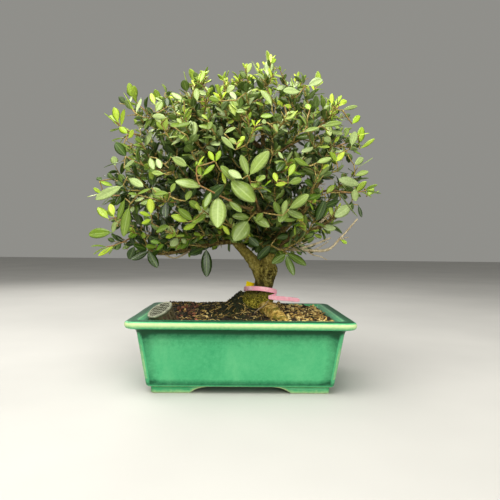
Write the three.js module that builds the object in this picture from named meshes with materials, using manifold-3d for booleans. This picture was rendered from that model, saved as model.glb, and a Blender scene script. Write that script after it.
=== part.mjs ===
// A dwarf yaupon holly grown as a small broad-crowned tree, in its glazed rectangular pot.
// Millimetres, +Z up, the pot's long side along X and its show face towards -Y.
import * as THREE from "three";
import { mergeVertices } from "three/addons/utils/BufferGeometryUtils.js";
import Module from "manifold-3d";

const wasm = await Module();
wasm.setup();

// Driving dimensions: the pot
const potWidth = 233;
const potDepth = 181;
const potHeight = 78.5;
const footHeight = 7.5;
const footInset = 24;
const footLength = 40.5;
const sideFootLength = 32;
const footThickness = 11;
const ogeeLength = 18.8;
const floorTop = 15.5;
const drainRadius = 9;
const drainSpacing = 96;

// The gap that touching pieces keep
const seatGap = 0.3;

// Driving dimensions: the soil, the fertiliser basket and the label
const soilLevel = 73;
const moundHeight = 11;
const lidRadius = 13.9;
const lidThickness = 1.6;
const basketHeight = 20;
const labelRadius = 19.2;
const labelHeight = 5;
const labelThickness = 1.1;
const tabThickness = 0.8;
const screenSide = 32;
const screenThickness = 1;
const wireRadius = 0.7;
const wireSpread = 5;

// Driving dimensions: the crown. Its reach from its middle, every 30 degrees round the front view.
const crownMiddle = new THREE.Vector3(-11, 0, 235);
const crownReach = [155, 160, 134, 123, 118, 152, 148, 170, 112, 88, 102, 146];
const crownDepthReach = 130;
const leafLength = 19;
const leafWidthShare = 0.56;
const leafKeel = 1.2;
const youngLeafLength = 15.5;
const sprayLength = 58;
const shootLength = 30;
const leavesPerSpray = 10;
const leavesPerShoot = 5;
const matureSprayCount = 37;
const lowestSprayTilt = -0.62;
const leafStandOut = 14;
const youngStandOut = 10;

const up = new THREE.Vector3(0, 0, 1);
const goldenAngle = Math.PI * (3 - Math.sqrt(5));

function at(x, y, z) {
  return new THREE.Vector3(x, y, z);
}

// A closed geometry as a solid, and a solid back as a geometry
function solidOf(geometry) {
  const bare = geometry.index ? geometry.toNonIndexed() : geometry.clone();
  bare.deleteAttribute("normal");
  bare.deleteAttribute("uv");
  const merged = mergeVertices(bare, 1e-4);
  return new wasm.Manifold(
    new wasm.Mesh({
      numProp: 3,
      vertProperties: merged.attributes.position.array,
      triVerts: new Uint32Array(merged.index.array),
    }),
  );
}

function geometryOf(solid) {
  const mesh = solid.getMesh();
  const geometry = new THREE.BufferGeometry();
  geometry.setAttribute("position", new THREE.BufferAttribute(mesh.vertProperties, 3));
  geometry.setIndex(new THREE.BufferAttribute(mesh.triVerts, 1));
  geometry.computeVertexNormals();
  return geometry;
}

function joined(solids) {
  return solids.reduce((whole, next) => whole.add(next));
}

// A closed skin over rings of equal point count, with a fan at each end
function skinOver(rings) {
  const count = rings[0].length;
  const positions = rings.flat().flatMap((p) => [p.x, p.y, p.z]);
  const index = [];
  for (let r = 0; r + 1 < rings.length; r++) {
    for (let i = 0; i < count; i++) {
      const a = r * count + i;
      const b = r * count + ((i + 1) % count);
      index.push(a, b, b + count, a, b + count, a + count);
    }
  }
  const last = (rings.length - 1) * count;
  for (let i = 1; i + 1 < count; i++) {
    index.push(0, i + 1, i);
    index.push(last, last + i, last + i + 1);
  }
  const geometry = new THREE.BufferGeometry();
  geometry.setAttribute("position", new THREE.Float32BufferAttribute(positions, 3));
  geometry.setIndex(index);
  return geometry;
}

// A level ring with round corners, counterclockwise from above
function cornerRing(halfX, halfY, radius, z, cornerSteps, sideSteps = 1) {
  const ring = [];
  const signs = [
    [1, 1],
    [-1, 1],
    [-1, -1],
    [1, -1],
  ];
  signs.forEach(([sx, sy], corner) => {
    for (let k = 0; k <= cornerSteps; k++) {
      const angle = (corner + k / cornerSteps) * (Math.PI / 2);
      const x = sx * (halfX - radius) + radius * Math.cos(angle);
      const y = sy * (halfY - radius) + radius * Math.sin(angle);
      ring.push(at(x, y, z));
    }
    const from = ring[ring.length - 1];
    const [tx, ty] = signs[(corner + 1) % 4];
    const turn = (corner + 1) * (Math.PI / 2);
    const toX = tx * (halfX - radius) + radius * Math.cos(turn);
    const toY = ty * (halfY - radius) + radius * Math.sin(turn);
    for (let k = 1; k < sideSteps; k++) {
      const share = k / sideSteps;
      ring.push(at(from.x + (toX - from.x) * share, from.y + (toY - from.y) * share, z));
    }
  });
  return ring;
}

// A round limb along points, each with its own radius. Its end faces may be turned to a given heading.
function limb(points, radii, sides, { firstHeading, lastHeading } = {}) {
  const rings = [];
  const tangent = at(0, 0, 1);
  const side = at(1, 0, 0);
  points.forEach((point, i) => {
    const before = points[Math.max(i - 1, 0)];
    const after = points[Math.min(i + 1, points.length - 1)];
    const heading = after.clone().sub(before).normalize();
    if (i === 0 && firstHeading) heading.copy(firstHeading);
    if (i === points.length - 1 && lastHeading) heading.copy(lastHeading);
    if (i === 0) {
      tangent.copy(heading);
      side.crossVectors(heading, Math.abs(heading.z) < 0.9 ? up : at(1, 0, 0)).normalize();
    } else {
      side.applyQuaternion(new THREE.Quaternion().setFromUnitVectors(tangent, heading));
      tangent.copy(heading);
    }
    const other = at(0, 0, 0).crossVectors(heading, side);
    const ring = [];
    for (let k = 0; k < sides; k++) {
      const angle = (k / sides) * 2 * Math.PI;
      const out = side.clone().multiplyScalar(Math.cos(angle));
      out.addScaledVector(other, Math.sin(angle)).multiplyScalar(radii[i]);
      ring.push(point.clone().add(out));
    }
    rings.push(ring);
  });
  return solidOf(skinOver(rings));
}

function alongCurve(points, steps) {
  return new THREE.CatmullRomCurve3(points, false, "catmullrom", 0.5).getPoints(steps);
}

function taper(first, last, count) {
  return Array.from({ length: count }, (_, i) => first + ((last - first) * i) / (count - 1));
}

// A seeded source of shares from 0 to 1
function seededShares(seed) {
  let state = seed >>> 0;
  return () => {
    state = (state + 0x6d2b79f5) >>> 0;
    let t = state;
    t = Math.imul(t ^ (t >>> 15), t | 1);
    t ^= t + Math.imul(t ^ (t >>> 7), t | 61);
    return ((t ^ (t >>> 14)) >>> 0) / 4294967296;
  };
}

// The pot's wall section: how far in from the rim's outermost line, the height, and the corner radius
const potSection = [
  [22, footHeight, 5],
  [19.6, footHeight + 1.1, 6],
  [18.8, footHeight + 3.5, 6.5],
  [10.8, 63, 7],
  [10, 66.3, 7],
  [6.6, 68.2, 8],
  [2.2, 69.2, 9],
  [0.3, 71.5, 9.5],
  [0, 74, 9.5],
  [1, 77, 9],
  [3.2, potHeight, 8],
  [12.5, potHeight - 0.4, 6],
  [16.5, 74.5, 5],
  [19.5, 70, 5],
  [26.5, floorTop, 5],
];
const [innerTop, innerFoot] = potSection.slice(-2);

// How far in from the rim's outermost line the inside of the wall stands, at a height
function innerInset(z) {
  const share = (z - innerFoot[1]) / (innerTop[1] - innerFoot[1]);
  return innerFoot[0] + (innerTop[0] - innerFoot[0]) * Math.min(share, 1);
}

// One bracket foot's side, from its outer corner to the end of its ogee, sunk 1 mm into the floor
function bracketFoot(outer, length, thickness) {
  const toe = outer - length;
  const shape = new THREE.Shape();
  shape.moveTo(outer, 0);
  shape.lineTo(outer, footHeight + 1);
  shape.lineTo(toe - ogeeLength, footHeight + 1);
  shape.lineTo(toe - ogeeLength, footHeight - 0.4);
  shape.lineTo(toe - ogeeLength * 0.85, footHeight * 0.82);
  shape.quadraticCurveTo(toe - ogeeLength * 0.35, footHeight * 0.72, toe, 0);
  const settings = { depth: thickness, bevelEnabled: false, curveSegments: 4 };
  return new THREE.ExtrudeGeometry(shape, settings);
}

function makePot() {
  const rings = potSection.map(([inset, z, radius]) =>
    cornerRing(potWidth / 2 - inset, potDepth / 2 - inset, radius, z, 3),
  );
  let pot = solidOf(skinOver(rings));
  const footX = potWidth / 2 - footInset;
  const footY = potDepth / 2 - footInset;
  const front = bracketFoot(footX, footLength, footThickness).rotateX(Math.PI / 2);
  const side = bracketFoot(footY, sideFootLength, footThickness);
  side.rotateX(Math.PI / 2).rotateZ(Math.PI / 2);
  const corner = solidOf(front.translate(0, footY, 0)).add(
    solidOf(side.translate(footX - footThickness, 0, 0)),
  );
  for (const turned of [false, true]) {
    const half = turned ? corner.rotate([0, 0, 180]) : corner;
    pot = pot.add(half).add(half.mirror([1, 0, 0]));
  }
  for (const x of [-drainSpacing / 2, drainSpacing / 2]) {
    const drain = new THREE.CylinderGeometry(drainRadius, drainRadius, 30, 12);
    pot = pot.subtract(solidOf(drain.rotateX(Math.PI / 2).translate(x, 0, floorTop)));
  }
  return pot;
}

// The bed of soil: low at the right, level with the lip at the back left, mounded at the trunk
function soilHeight(x, y) {
  const mound = moundHeight * Math.exp(-((x - 15) ** 2 + (y - 3) ** 2) / (2 * 26 ** 2));
  const backLeft = 5.5 / (1 + Math.exp((x - 10 - y * 0.9) / 16)) / (1 + Math.exp(-(y + 5) / 18));
  const ripple = 0.9 * Math.sin(x * 0.17 + 1) * Math.cos(y * 0.21);
  return soilLevel + mound + backLeft + ripple;
}

const soilSideSteps = 4;

function makeSoil() {
  const wallGap = seatGap + 0.05;
  const shares = [1, 0.82, 0.62, 0.42, 0.2];
  const floorLevel = floorTop + seatGap;
  const footRing = cornerRing(
    potWidth / 2 - innerInset(floorLevel) - wallGap,
    potDepth / 2 - innerInset(floorLevel) - wallGap,
    5,
    floorLevel,
    2,
    soilSideSteps,
  );
  const rings = shares.map((share) => {
    const inset = innerInset(soilLevel) + wallGap + 1.2;
    const ring = cornerRing(potWidth / 2 - inset, potDepth / 2 - inset, 5, 0, 2, soilSideSteps);
    for (const p of ring) {
      p.x *= share;
      p.y *= share;
      p.z = soilHeight(p.x, p.y);
    }
    return ring;
  });
  return solidOf(skinOver([footRing, ...rings]));
}

// The trunk: level sections from the buried foot, over the swollen flare, to the fork
const trunkLevels = [
  [17, 2, 58, 13],
  [16, 2, 72, 20.5],
  [16.8, 0.5, 84, 20],
  [19.6, -0.3, 90.5, 19.6],
  [20.8, -0.2, 94.4, 18.9],
  [21.4, 0, 96.2, 16.2],
  [23.3, 0, 99, 12.4],
  [26.2, 0, 107, 10.4],
  [26.8, 0, 114, 11.2],
  [27.8, 0, 121, 12.6],
  [28.6, 0, 128, 12],
  [30, 0, 134, 7],
];

// The two limbs of the fork, then the main branches: points, first and last radius, sides
const limbs = {
  leftLimb: [
    [
      at(24, 0, 118), at(15.5, -1, 133.5), at(6.3, -1, 144.8), at(-2, 0, 154.5),
      at(-13, 2, 164),
    ],
    6.6, 3.9, 8,
  ],
  rightLimb: [
    [at(28, 0, 122), at(30.5, 0, 135), at(32.5, 1, 147), at(34, 3, 160)],
    10.2, 6.6, 8,
  ],
};
const branches = {
  lowLeft: [
    [
      at(-4, -1, 157), at(-22, -8, 156), at(-42, -18, 152), at(-64, -22, 146.5),
      at(-86, -24, 142.5), at(-106, -24, 144),
    ],
    2.9, 1.4,
  ],
  leftMiddle: [
    [at(-11, 2, 162), at(-42, -8, 170), at(-76, -14, 184), at(-104, -14, 200)],
    2.9, 1.5,
  ],
  leftUp: [
    [at(-12, 2, 163), at(-36, 4, 183), at(-66, 4, 209), at(-94, -2, 236)],
    3.6, 1.6,
  ],
  leftBack: [
    [at(-10, 3, 161), at(-32, 28, 176), at(-58, 54, 196), at(-72, 66, 220)],
    3, 1.5,
  ],
  leftFront: [
    [at(-9, 0, 161), at(-26, -30, 178), at(-48, -56, 198), at(-58, -66, 222)],
    3, 1.5,
  ],
  crownLeft: [
    [at(-12, 2, 163), at(-22, 6, 196), at(-38, 10, 236), at(-50, 8, 274), at(-52, 4, 300)],
    3.5, 1.4,
  ],
  leader: [
    [at(34, 3, 156), at(38, 6, 190), at(32, 4, 228), at(24, 0, 266), at(22, 0, 304)],
    5.6, 1.5,
  ],
  crownBack: [
    [at(34, 4, 160), at(20, 34, 190), at(6, 58, 224), at(2, 66, 256)],
    3.3, 1.4,
  ],
  crownFront: [
    [at(34, 2, 158), at(24, -28, 182), at(12, -56, 202), at(4, -68, 230)],
    3.3, 1.4,
  ],
  rightUp: [
    [at(34, 3, 158), at(58, 6, 184), at(82, 4, 214), at(98, -2, 246)],
    3.7, 1.5,
  ],
  rightLow: [
    [at(34, 2, 154), at(58, -6, 163), at(88, -14, 175), at(110, -16, 190)],
    3, 1.4,
  ],
  rightBack: [
    [at(35, 5, 157), at(54, 34, 178), at(74, 56, 200), at(84, 66, 226)],
    3, 1.4,
  ],
  rightFront: [
    [at(35, 0, 157), at(52, -34, 176), at(70, -56, 196), at(80, -64, 222)],
    3, 1.4,
  ],
};

// Weathered twigs that stand bare under the crown's right side
const bareTwigs = [
  [
    [
      at(36, -1, 150), at(63, -30, 148.5), at(92, -40, 148.8), at(107, -40, 162),
      at(126, -36, 183),
    ],
    1.7, 0.6,
  ],
  [
    [at(60, -27, 148.8), at(78, -38, 154.5), at(96, -42, 162)],
    1.2, 0.6,
  ],
  [
    [at(-52, -20, 149.4), at(-72, -28, 138.5), at(-84, -30, 141)],
    0.9, 0.6,
  ],
];

// Roots: the one that rides over the soil to the front right, and those that run down into it
const roots = [
  [
    [at(20, -4, 88), at(30, -20, 87), at(43, -42, 80.5), at(54, -59, 73), at(57, -63, 62)],
    9, 4.2, 8,
  ],
  [
    [at(14, 4, 78), at(-8, 10, 68), at(-34, 14, 52), at(-52, 12, 36)],
    7, 2.2, 5,
  ],
  [
    [at(20, 6, 76), at(34, 22, 66), at(50, 40, 48), at(56, 48, 34)],
    6.5, 2.2, 5,
  ],
  [
    [at(16, -4, 76), at(4, -22, 62), at(-14, -38, 46), at(-22, -44, 34)],
    6, 2.2, 5,
  ],
  [
    [at(22, 2, 74), at(46, 4, 62), at(70, 6, 46), at(80, 6, 36)],
    6, 2.2, 5,
  ],
];
const rootGap = 0.4;

function trunkSolid(spare) {
  const rings = trunkLevels.map(([x, y, z, radius]) => {
    const ring = [];
    for (let k = 0; k < 12; k++) {
      const angle = (k / 12) * 2 * Math.PI;
      const swell = 1 + 0.05 * Math.sin(3 * angle + z * 0.06);
      const reach = radius * swell + spare;
      ring.push(at(x + reach * Math.cos(angle), y + reach * Math.sin(angle), z));
    }
    return ring;
  });
  if (spare > 0) {
    for (const p of rings[0]) p.z -= spare;
  }
  return solidOf(skinOver(rings));
}

function rootSolids(spare) {
  return roots.map(([points, first, last, sides]) => {
    const path = alongCurve(points, 4);
    if (spare > 0) {
      const end = path[path.length - 1];
      const heading = end.clone().sub(path[path.length - 2]).normalize();
      end.addScaledVector(heading, spare);
    }
    return limb(path, taper(first + spare, last + spare, path.length), sides);
  });
}

// The crown's surface, from its middle along a heading
function crownRadius(heading) {
  const angle = (Math.atan2(heading.z, heading.x) / (2 * Math.PI) + 1) % 1;
  const place = angle * crownReach.length;
  const lower = Math.floor(place) % crownReach.length;
  const ease = (1 - Math.cos((place - Math.floor(place)) * Math.PI)) / 2;
  const next = crownReach[(lower + 1) % crownReach.length];
  const reach = crownReach[lower] + (next - crownReach[lower]) * ease;
  const flat = heading.x ** 2 + heading.z ** 2;
  return 1 / Math.sqrt(flat / reach ** 2 + heading.y ** 2 / crownDepthReach ** 2);
}

// Young shoots, lime green, by the place of their tips
const shootTips = [
  at(-155, -10, 296),
  at(-133, -15, 324),
  at(-103, -10, 322),
  at(-60, 0, 350),
  at(32, 0, 374),
  at(92, 0, 346),
  at(118, -10, 319),
  at(140, -20, 281),
  at(147, -30, 214),
  at(-163, -38, 205),
  at(-158, -30, 144),
  at(50, -106, 228),
  at(-82, -96, 191),
  at(38, 118, 292),
  at(-62, 118, 254),
  at(102, 92, 256),
  at(-118, 76, 262),
];

// Sprays that show at the front or hang below, with their leaves: stem from and to, twigs, leaves
// as foot, tip and width
const placedSprays = [
  {
    stem: [at(-5, -94, 192), at(-40, -111, 208)],
    twigs: [],
    leaves: [
      [at(-23, -103, 200.5), at(-23.8, -114, 169.5), 16.8],
      [at(-37, -109.5, 206.6), at(-63, -111, 213.5), 11.5],
      [at(-13, -98, 196), at(-2, -112, 184), 8],
      [at(-30, -106, 203.5), at(-34, -114, 188), 7],
    ],
  },
  {
    stem: [at(14, -84, 196), at(5, -106, 219)],
    twigs: [[at(9.5, -95, 207.5), at(-14, -107, 216)]],
    leaves: [
      [at(5, -106, 219), at(23.5, -110, 242), 13],
      [at(-13.4, -106.8, 215.8), at(10.6, -114, 193.5), 19],
      [at(-6, -103, 213), at(-21, -112, 226), 10],
      [at(5, -106, 219), at(-2, -108, 238), 9],
    ],
  },
  {
    stem: [at(14, -62, 188), at(6, -86, 177.5)],
    twigs: [],
    leaves: [
      [at(6, -86, 177.5), at(-7, -93, 157), 17.5],
      [at(10, -75, 183), at(27, -84, 172), 11],
      [at(8, -80, 180), at(-10, -84, 182), 9],
    ],
  },
  {
    stem: [at(40, -72, 190), at(45, -92, 188)],
    twigs: [],
    leaves: [
      [at(45, -92, 188), at(64, -97, 202.5), 11.5],
      [at(44, -87, 188.5), at(36, -98, 176), 10],
      [at(42.5, -82, 189), at(60, -90, 181), 10],
    ],
  },
  {
    stem: [at(44, -14, 151), at(49, -37, 144)],
    twigs: [],
    leaves: [
      [at(49, -37, 144), at(34, -44, 133), 10],
      [at(49, -37, 144), at(53, -46, 121), 9],
      [at(47.5, -30, 146), at(71, -40, 134), 10],
    ],
  },
  {
    stem: [at(-44, -22, 150), at(-38, -44, 150.5)],
    twigs: [],
    leaves: [
      [at(-38, -44, 150.5), at(-36.5, -49, 119), 12],
      [at(-40.5, -35, 150.3), at(-56, -44, 142), 9],
    ],
  },
  {
    stem: [at(-98, -26, 145), at(-100, -47, 147)],
    twigs: [],
    leaves: [
      [at(-100, -47, 147), at(-90, -54, 128), 10],
      [at(-99.4, -41, 146.4), at(-117, -48, 136), 9],
      [at(-99.8, -45, 146.8), at(-112, -60, 152), 9],
    ],
  },
];

// The fertiliser basket stands tilted in the soil at the left front corner
const lidMiddle = at(-84.4, -60, 84.6);
const basketLean = at(-0.39, -0.34, 0.85).normalize();
const basketFootRadius = 11.2;
const basketMouthRadius = 13.2;
const basketMouth = -1.1;
const basketWall = 1.2;
const basketSection = [
  [0, -basketHeight],
  [basketFootRadius, -basketHeight],
  [basketMouthRadius, basketMouth],
  [basketMouthRadius - basketWall, basketMouth],
  [basketFootRadius - basketWall, basketWall - basketHeight],
  [0, basketWall - basketHeight],
];
const cakeRadius = 9;
const cakeHeight = 13;
const slotCount = 8;
const latticePitch = 5.2;
const latticeHole = 3.6;
const latticeReach = 10.6;

function lathed(section, segments) {
  const points = section.map(([r, z]) => new THREE.Vector2(r, z));
  return new THREE.LatheGeometry(points, segments).rotateX(Math.PI / 2);
}

// Stands a piece made upright on the origin where the basket stands
function setInBasketPlace(geometry) {
  const turn = new THREE.Quaternion().setFromUnitVectors(up, basketLean);
  return geometry.applyQuaternion(turn).translate(lidMiddle.x, lidMiddle.y, lidMiddle.z);
}

function makeBasketCup() {
  let cup = solidOf(setInBasketPlace(lathed(basketSection, 16)));
  for (let k = 0; k < slotCount; k++) {
    const slot = new THREE.BoxGeometry(6, 2.6, basketHeight * 0.55);
    slot.translate(12, 0, -basketHeight * 0.5).rotateZ((k / slotCount) * 2 * Math.PI + 0.157);
    cup = cup.subtract(solidOf(setInBasketPlace(slot)));
  }
  return cup;
}

function makeBasketLid() {
  const level = basketMouth + seatGap + lidThickness / 2;
  const disc = new THREE.CylinderGeometry(lidRadius, lidRadius, lidThickness, 16).rotateX(Math.PI / 2);
  let lid = solidOf(setInBasketPlace(disc.translate(0, 0, level)));
  for (let i = -2; i <= 2; i++) {
    for (let j = -2; j <= 2; j++) {
      const [x, y] = [i * latticePitch, j * latticePitch];
      if (Math.hypot(x, y) > latticeReach) continue;
      const hole = new THREE.BoxGeometry(latticeHole, latticeHole, lidThickness * 2);
      lid = lid.subtract(solidOf(setInBasketPlace(hole.translate(x, y, level))));
    }
  }
  return lid;
}

function makeFertiliserCake() {
  const cake = new THREE.SphereGeometry(1, 8, 5).rotateX(Math.PI / 2);
  cake.scale(cakeRadius, cakeRadius, cakeHeight / 2);
  cake.translate(0, 0, cakeHeight / 2 + seatGap + basketWall - basketHeight);
  return solidOf(setInBasketPlace(cake));
}

function basketHollow() {
  const section = [
    [0, -basketHeight - rootGap],
    [basketFootRadius + rootGap, -basketHeight - rootGap],
    [basketMouthRadius + rootGap, basketMouth - rootGap],
    [lidRadius + rootGap, basketMouth],
    [lidRadius + rootGap, basketHeight / 2],
    [0, basketHeight / 2],
  ];
  return solidOf(setInBasketPlace(lathed(section, 16)));
}

// The label band is looped loosely round the trunk and rests on the flare's shoulder
const bandMiddle = at(22.1, 0, 98.4);
const bandLean = 0.045;
const tailPath = [
  at(29, -17.5, 98.3),
  at(36, -17, 96.2),
  at(50, -14, 93.2),
  at(65, -10.5, 90.6),
  at(68, -10, 90.1),
];
const tailHeights = [4, 4.8, 4.8, 4.8, 2.2];

function makeLabelBand() {
  const inner = labelRadius - labelThickness;
  const half = labelHeight / 2;
  const section = [
    [inner, -half],
    [labelRadius, -half],
    [labelRadius, half],
    [inner, half],
    [inner, -half],
  ];
  const loop = lathed(section, 24).rotateY(bandLean);
  loop.translate(bandMiddle.x, bandMiddle.y, bandMiddle.z);
  const rings = tailPath.map((place, i) => {
    const heading = tailPath[Math.min(i + 1, 4)].clone().sub(tailPath[Math.max(i - 1, 0)]);
    const across = at(-heading.y, heading.x, 0).normalize().multiplyScalar(labelThickness / 2);
    const rise = at(0, 0, tailHeights[i] / 2);
    return [
      place.clone().add(across).sub(rise),
      place.clone().add(across).add(rise),
      place.clone().sub(across).add(rise),
      place.clone().sub(across).sub(rise),
    ];
  });
  return solidOf(loop).add(solidOf(skinOver(rings)));
}

// The yellow tab stands behind the band, left of the trunk
const tabCorners = [
  [5.9, 100.4],
  [12.6, 99.9],
  [15.4, 108.3],
  [7.4, 110.6],
];
const tabDepth = 7;

function makeYellowTab() {
  const shape = new THREE.Shape(tabCorners.map(([x, z]) => new THREE.Vector2(x, z)));
  const plate = new THREE.ExtrudeGeometry(shape, { depth: tabThickness, bevelEnabled: false });
  return solidOf(plate.rotateX(Math.PI / 2).translate(0, tabDepth, 0));
}

// Drainage: a slotted screen over each hole and the bent wire that holds it
const screenLevel = floorTop + seatGap;
const wireTop = screenLevel + screenThickness + seatGap + wireRadius;
const wireFoot = footHeight - seatGap - wireRadius;

function makeScreen(x) {
  const level = screenLevel + screenThickness / 2;
  const plate = new THREE.BoxGeometry(screenSide, screenSide, screenThickness);
  let screen = solidOf(plate.translate(x, 0, level));
  for (const middle of [-12, -wireSpread, wireSpread, 12]) {
    const slot = new THREE.BoxGeometry(3, 24, screenThickness * 2);
    screen = screen.subtract(solidOf(slot.translate(x + middle, 0, level)));
  }
  return screen;
}

function makeWire(x) {
  const leg = [
    [3 * wireSpread, wireFoot],
    [wireSpread + 0.7, wireFoot],
    [wireSpread, wireFoot + 1],
    [wireSpread, wireTop - 0.9],
    [wireSpread - 0.8, wireTop],
  ];
  const path = [
    ...leg.map(([out, z]) => at(x - out, 0, z)),
    ...leg.reverse().map(([out, z]) => at(x + out, 0, z)),
  ];
  return limb(path, path.map(() => wireRadius), 5);
}

function screenHollow(x) {
  const side = screenSide + 2 * rootGap;
  const plate = new THREE.BoxGeometry(side, side, 2 * (screenThickness + 2 * seatGap));
  const ridgeHeight = wireTop + wireRadius + seatGap - floorTop;
  const ridge = new THREE.BoxGeometry(2 * wireSpread + 3, 4 * wireRadius, 2 * ridgeHeight);
  return solidOf(plate.translate(x, 0, floorTop)).add(solidOf(ridge.translate(x, 0, floorTop)));
}

// A bent line of three points, as a quadratic curve
function bent(from, through, to, steps) {
  return new THREE.QuadraticBezierCurve3(from, through, to).getPoints(steps);
}

function segmentDistance(p, a, b) {
  const run = b.clone().sub(a);
  const share = Math.min(Math.max(p.clone().sub(a).dot(run) / run.lengthSq(), 0), 1);
  return p.distanceTo(a.clone().addScaledVector(run, share));
}

// What already stands in the crown: stretches of wood or stem, and leaves
const stretches = [];
const standingLeaves = [];

function addStretches(points, radii, owner, isWood) {
  for (let i = 0; i + 1 < points.length; i++) {
    const [a, b] = [points[i], points[i + 1]];
    const middle = a.clone().add(b).multiplyScalar(0.5);
    const reach = a.distanceTo(b) / 2;
    stretches.push({ a, b, radius: Math.max(radii[i], radii[i + 1]), owner, isWood, middle, reach });
  }
}

function clearOfStretches(points, radius, margin, counts = () => true) {
  return stretches.filter(counts).every((stretch) => {
    const need = stretch.radius + radius + margin;
    return points.every((p) => {
      if (p.distanceTo(stretch.middle) > stretch.reach + need) return true;
      return segmentDistance(p, stretch.a, stretch.b) >= need;
    });
  });
}

// The leaf's outline: share of its length, half width as a share of its width
const leafStations = [
  [0.3, 0.42],
  [0.7, 0.44],
];
const largeLeafStations = [
  [0.1, 0.04],
  [0.3, 0.4],
  [0.55, 0.5],
  [0.82, 0.36],
];
const largeLeaf = 23;
const petioleHalf = 0.5;

function leafPoint(leaf, along, across) {
  const drop = -leaf.arch * leaf.length * along * along;
  return leaf.foot
    .clone()
    .addScaledVector(leaf.heading, leaf.length * along)
    .addScaledVector(leaf.side, across)
    .addScaledVector(leaf.face, drop);
}

// A leaf from its foot on the stem: its heading, the way its upper face looks, length and width
function leafAt(foot, heading, facing, length, width, arch) {
  const face = facing.clone().addScaledVector(heading, -facing.dot(heading));
  if (face.lengthSq() < 0.01) face.crossVectors(heading, at(1, 0.3, 0.2));
  face.normalize();
  const side = at(0, 0, 0).crossVectors(heading, face);
  const leaf = { foot, heading, face, side, length, width, arch };
  leaf.samples = [];
  for (const along of [0.3, 0.48, 0.66, 0.83, 1]) {
    const half = along === 1 ? 0 : 0.48 * width * Math.sin(Math.PI * along ** 0.9) ** 0.6;
    for (const share of along === 1 ? [0] : [-1, -0.5, 0, 0.5, 1]) {
      leaf.samples.push(leafPoint(leaf, along, half * share));
    }
  }
  leaf.middle = leafPoint(leaf, 0.6, 0);
  return leaf;
}

// The nearest place on a spray's stems, a little way in from their ends
const leafSink = 1.5;

function ontoStem(spray, place) {
  let best = null;
  for (const { points } of spray.stems) {
    for (let i = 0; i + 1 < points.length; i++) {
      const run = points[i + 1].clone().sub(points[i]);
      const length = run.length();
      const first = i === 0 ? leafSink : 0;
      const last = i + 2 === points.length ? length - leafSink : length;
      const along = place.clone().sub(points[i]).dot(run) / length;
      const share = Math.min(Math.max(along, first), last) / length;
      const spot = points[i].clone().addScaledVector(run, share);
      if (!best || spot.distanceTo(place) < best.distanceTo(place)) best = spot;
    }
  }
  return best;
}

const leafSpacing = 4;
const ownLeafSpacing = 2.4;
const stemMargin = 2.1;

function leafFits(leaf, owner, ownBranch) {
  for (const other of standingLeaves) {
    const need = other.owner === owner ? ownLeafSpacing : leafSpacing;
    if (leaf.middle.distanceTo(other.middle) > (leaf.length + other.length) * 0.6 + need) continue;
    for (const p of leaf.samples) {
      for (const q of other.samples) {
        if (p.distanceToSquared(q) < need * need) return false;
      }
    }
  }
  const others = (stretch) => stretch.owner !== owner;
  if (!clearOfStretches(leaf.samples, 0, stemMargin, others)) return false;
  const strangers = (stretch) => others(stretch) && stretch.owner !== ownBranch;
  return clearOfStretches([leafPoint(leaf, 0.15, 0)], petioleHalf, 0.9, strangers);
}

function leafSolid(leaf) {
  const stations = leaf.length > largeLeaf ? largeLeafStations : leafStations;
  const positions = [];
  const put = (p) => positions.push(p.x, p.y, p.z);
  put(leaf.foot);
  for (const [along, share] of stations) {
    const half = Math.max(share * leaf.width, petioleHalf);
    const keel = along < 0.2 ? 0.9 : leafKeel;
    put(leafPoint(leaf, along, -half));
    put(leafPoint(leaf, along, half));
    put(leafPoint(leaf, along, 0).addScaledVector(leaf.face, -keel));
  }
  put(leafPoint(leaf, 1, 0));
  const tip = stations.length * 3 + 1;
  const index = [0, 2, 1, 0, 3, 2, 0, 1, 3];
  for (let s = 0; s + 1 < stations.length; s++) {
    for (let k = 0; k < 3; k++) {
      const a = 1 + s * 3 + k;
      const b = 1 + s * 3 + ((k + 1) % 3);
      index.push(a, b, b + 3, a, b + 3, a + 3);
    }
  }
  index.push(tip - 3, tip - 2, tip, tip - 2, tip - 1, tip, tip - 1, tip - 3, tip);
  const geometry = new THREE.BufferGeometry();
  geometry.setAttribute("position", new THREE.Float32BufferAttribute(positions, 3));
  geometry.setIndex(index);
  return solidOf(geometry);
}

// The leafy sprays to grow: each has the tip of its stem, its length and the way it leans
const crown = [];
const shootClearance = 34;
const placedClearance = 38;

function planSpray(kind, tip, length) {
  const outward = tip.clone().sub(crownMiddle).normalize();
  const start = outward.clone().addScaledVector(up, -0.1).normalize();
  crown.push({ kind, tip, length, outward, start });
}

function stemFoot(spray, share) {
  if (spray.fixedFoot) return spray.fixedFoot;
  const lean = spray.outward.clone().addScaledVector(up, 0.35).normalize();
  const back = spray.outward.clone().multiplyScalar(0.55).addScaledVector(lean, 0.45);
  return spray.tip.clone().addScaledVector(back, -spray.length * share);
}

shootTips.forEach((leafTip) => {
  const outward = leafTip.clone().sub(crownMiddle).normalize();
  planSpray("shoot", leafTip.clone().addScaledVector(outward, -youngStandOut), shootLength);
});
for (let i = 0; i < matureSprayCount; i++) {
  const z = 1 - (2 * (i + 0.5)) / matureSprayCount;
  if (z < lowestSprayTilt) continue;
  const turn = i * goldenAngle + 0.6;
  const flat = Math.sqrt(1 - z * z);
  const heading = at(flat * Math.cos(turn), flat * Math.sin(turn), z);
  const tip = crownMiddle.clone().addScaledVector(heading, crownRadius(heading) - leafStandOut);
  const nearShoot = shootTips.some((other) => other.distanceTo(tip) < shootClearance);
  const inFront = placedSprays.some((placed) => placed.stem[1].distanceTo(tip) < placedClearance);
  if (!nearShoot && !inFront) planSpray("spray", tip, sprayLength);
}
placedSprays.forEach((placed) => {
  const [fixedFoot, tip] = placed.stem;
  const start = tip.clone().sub(fixedFoot).normalize();
  crown.push({ kind: "placed", fixedFoot, tip, outward: start, start, placed });
});
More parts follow.
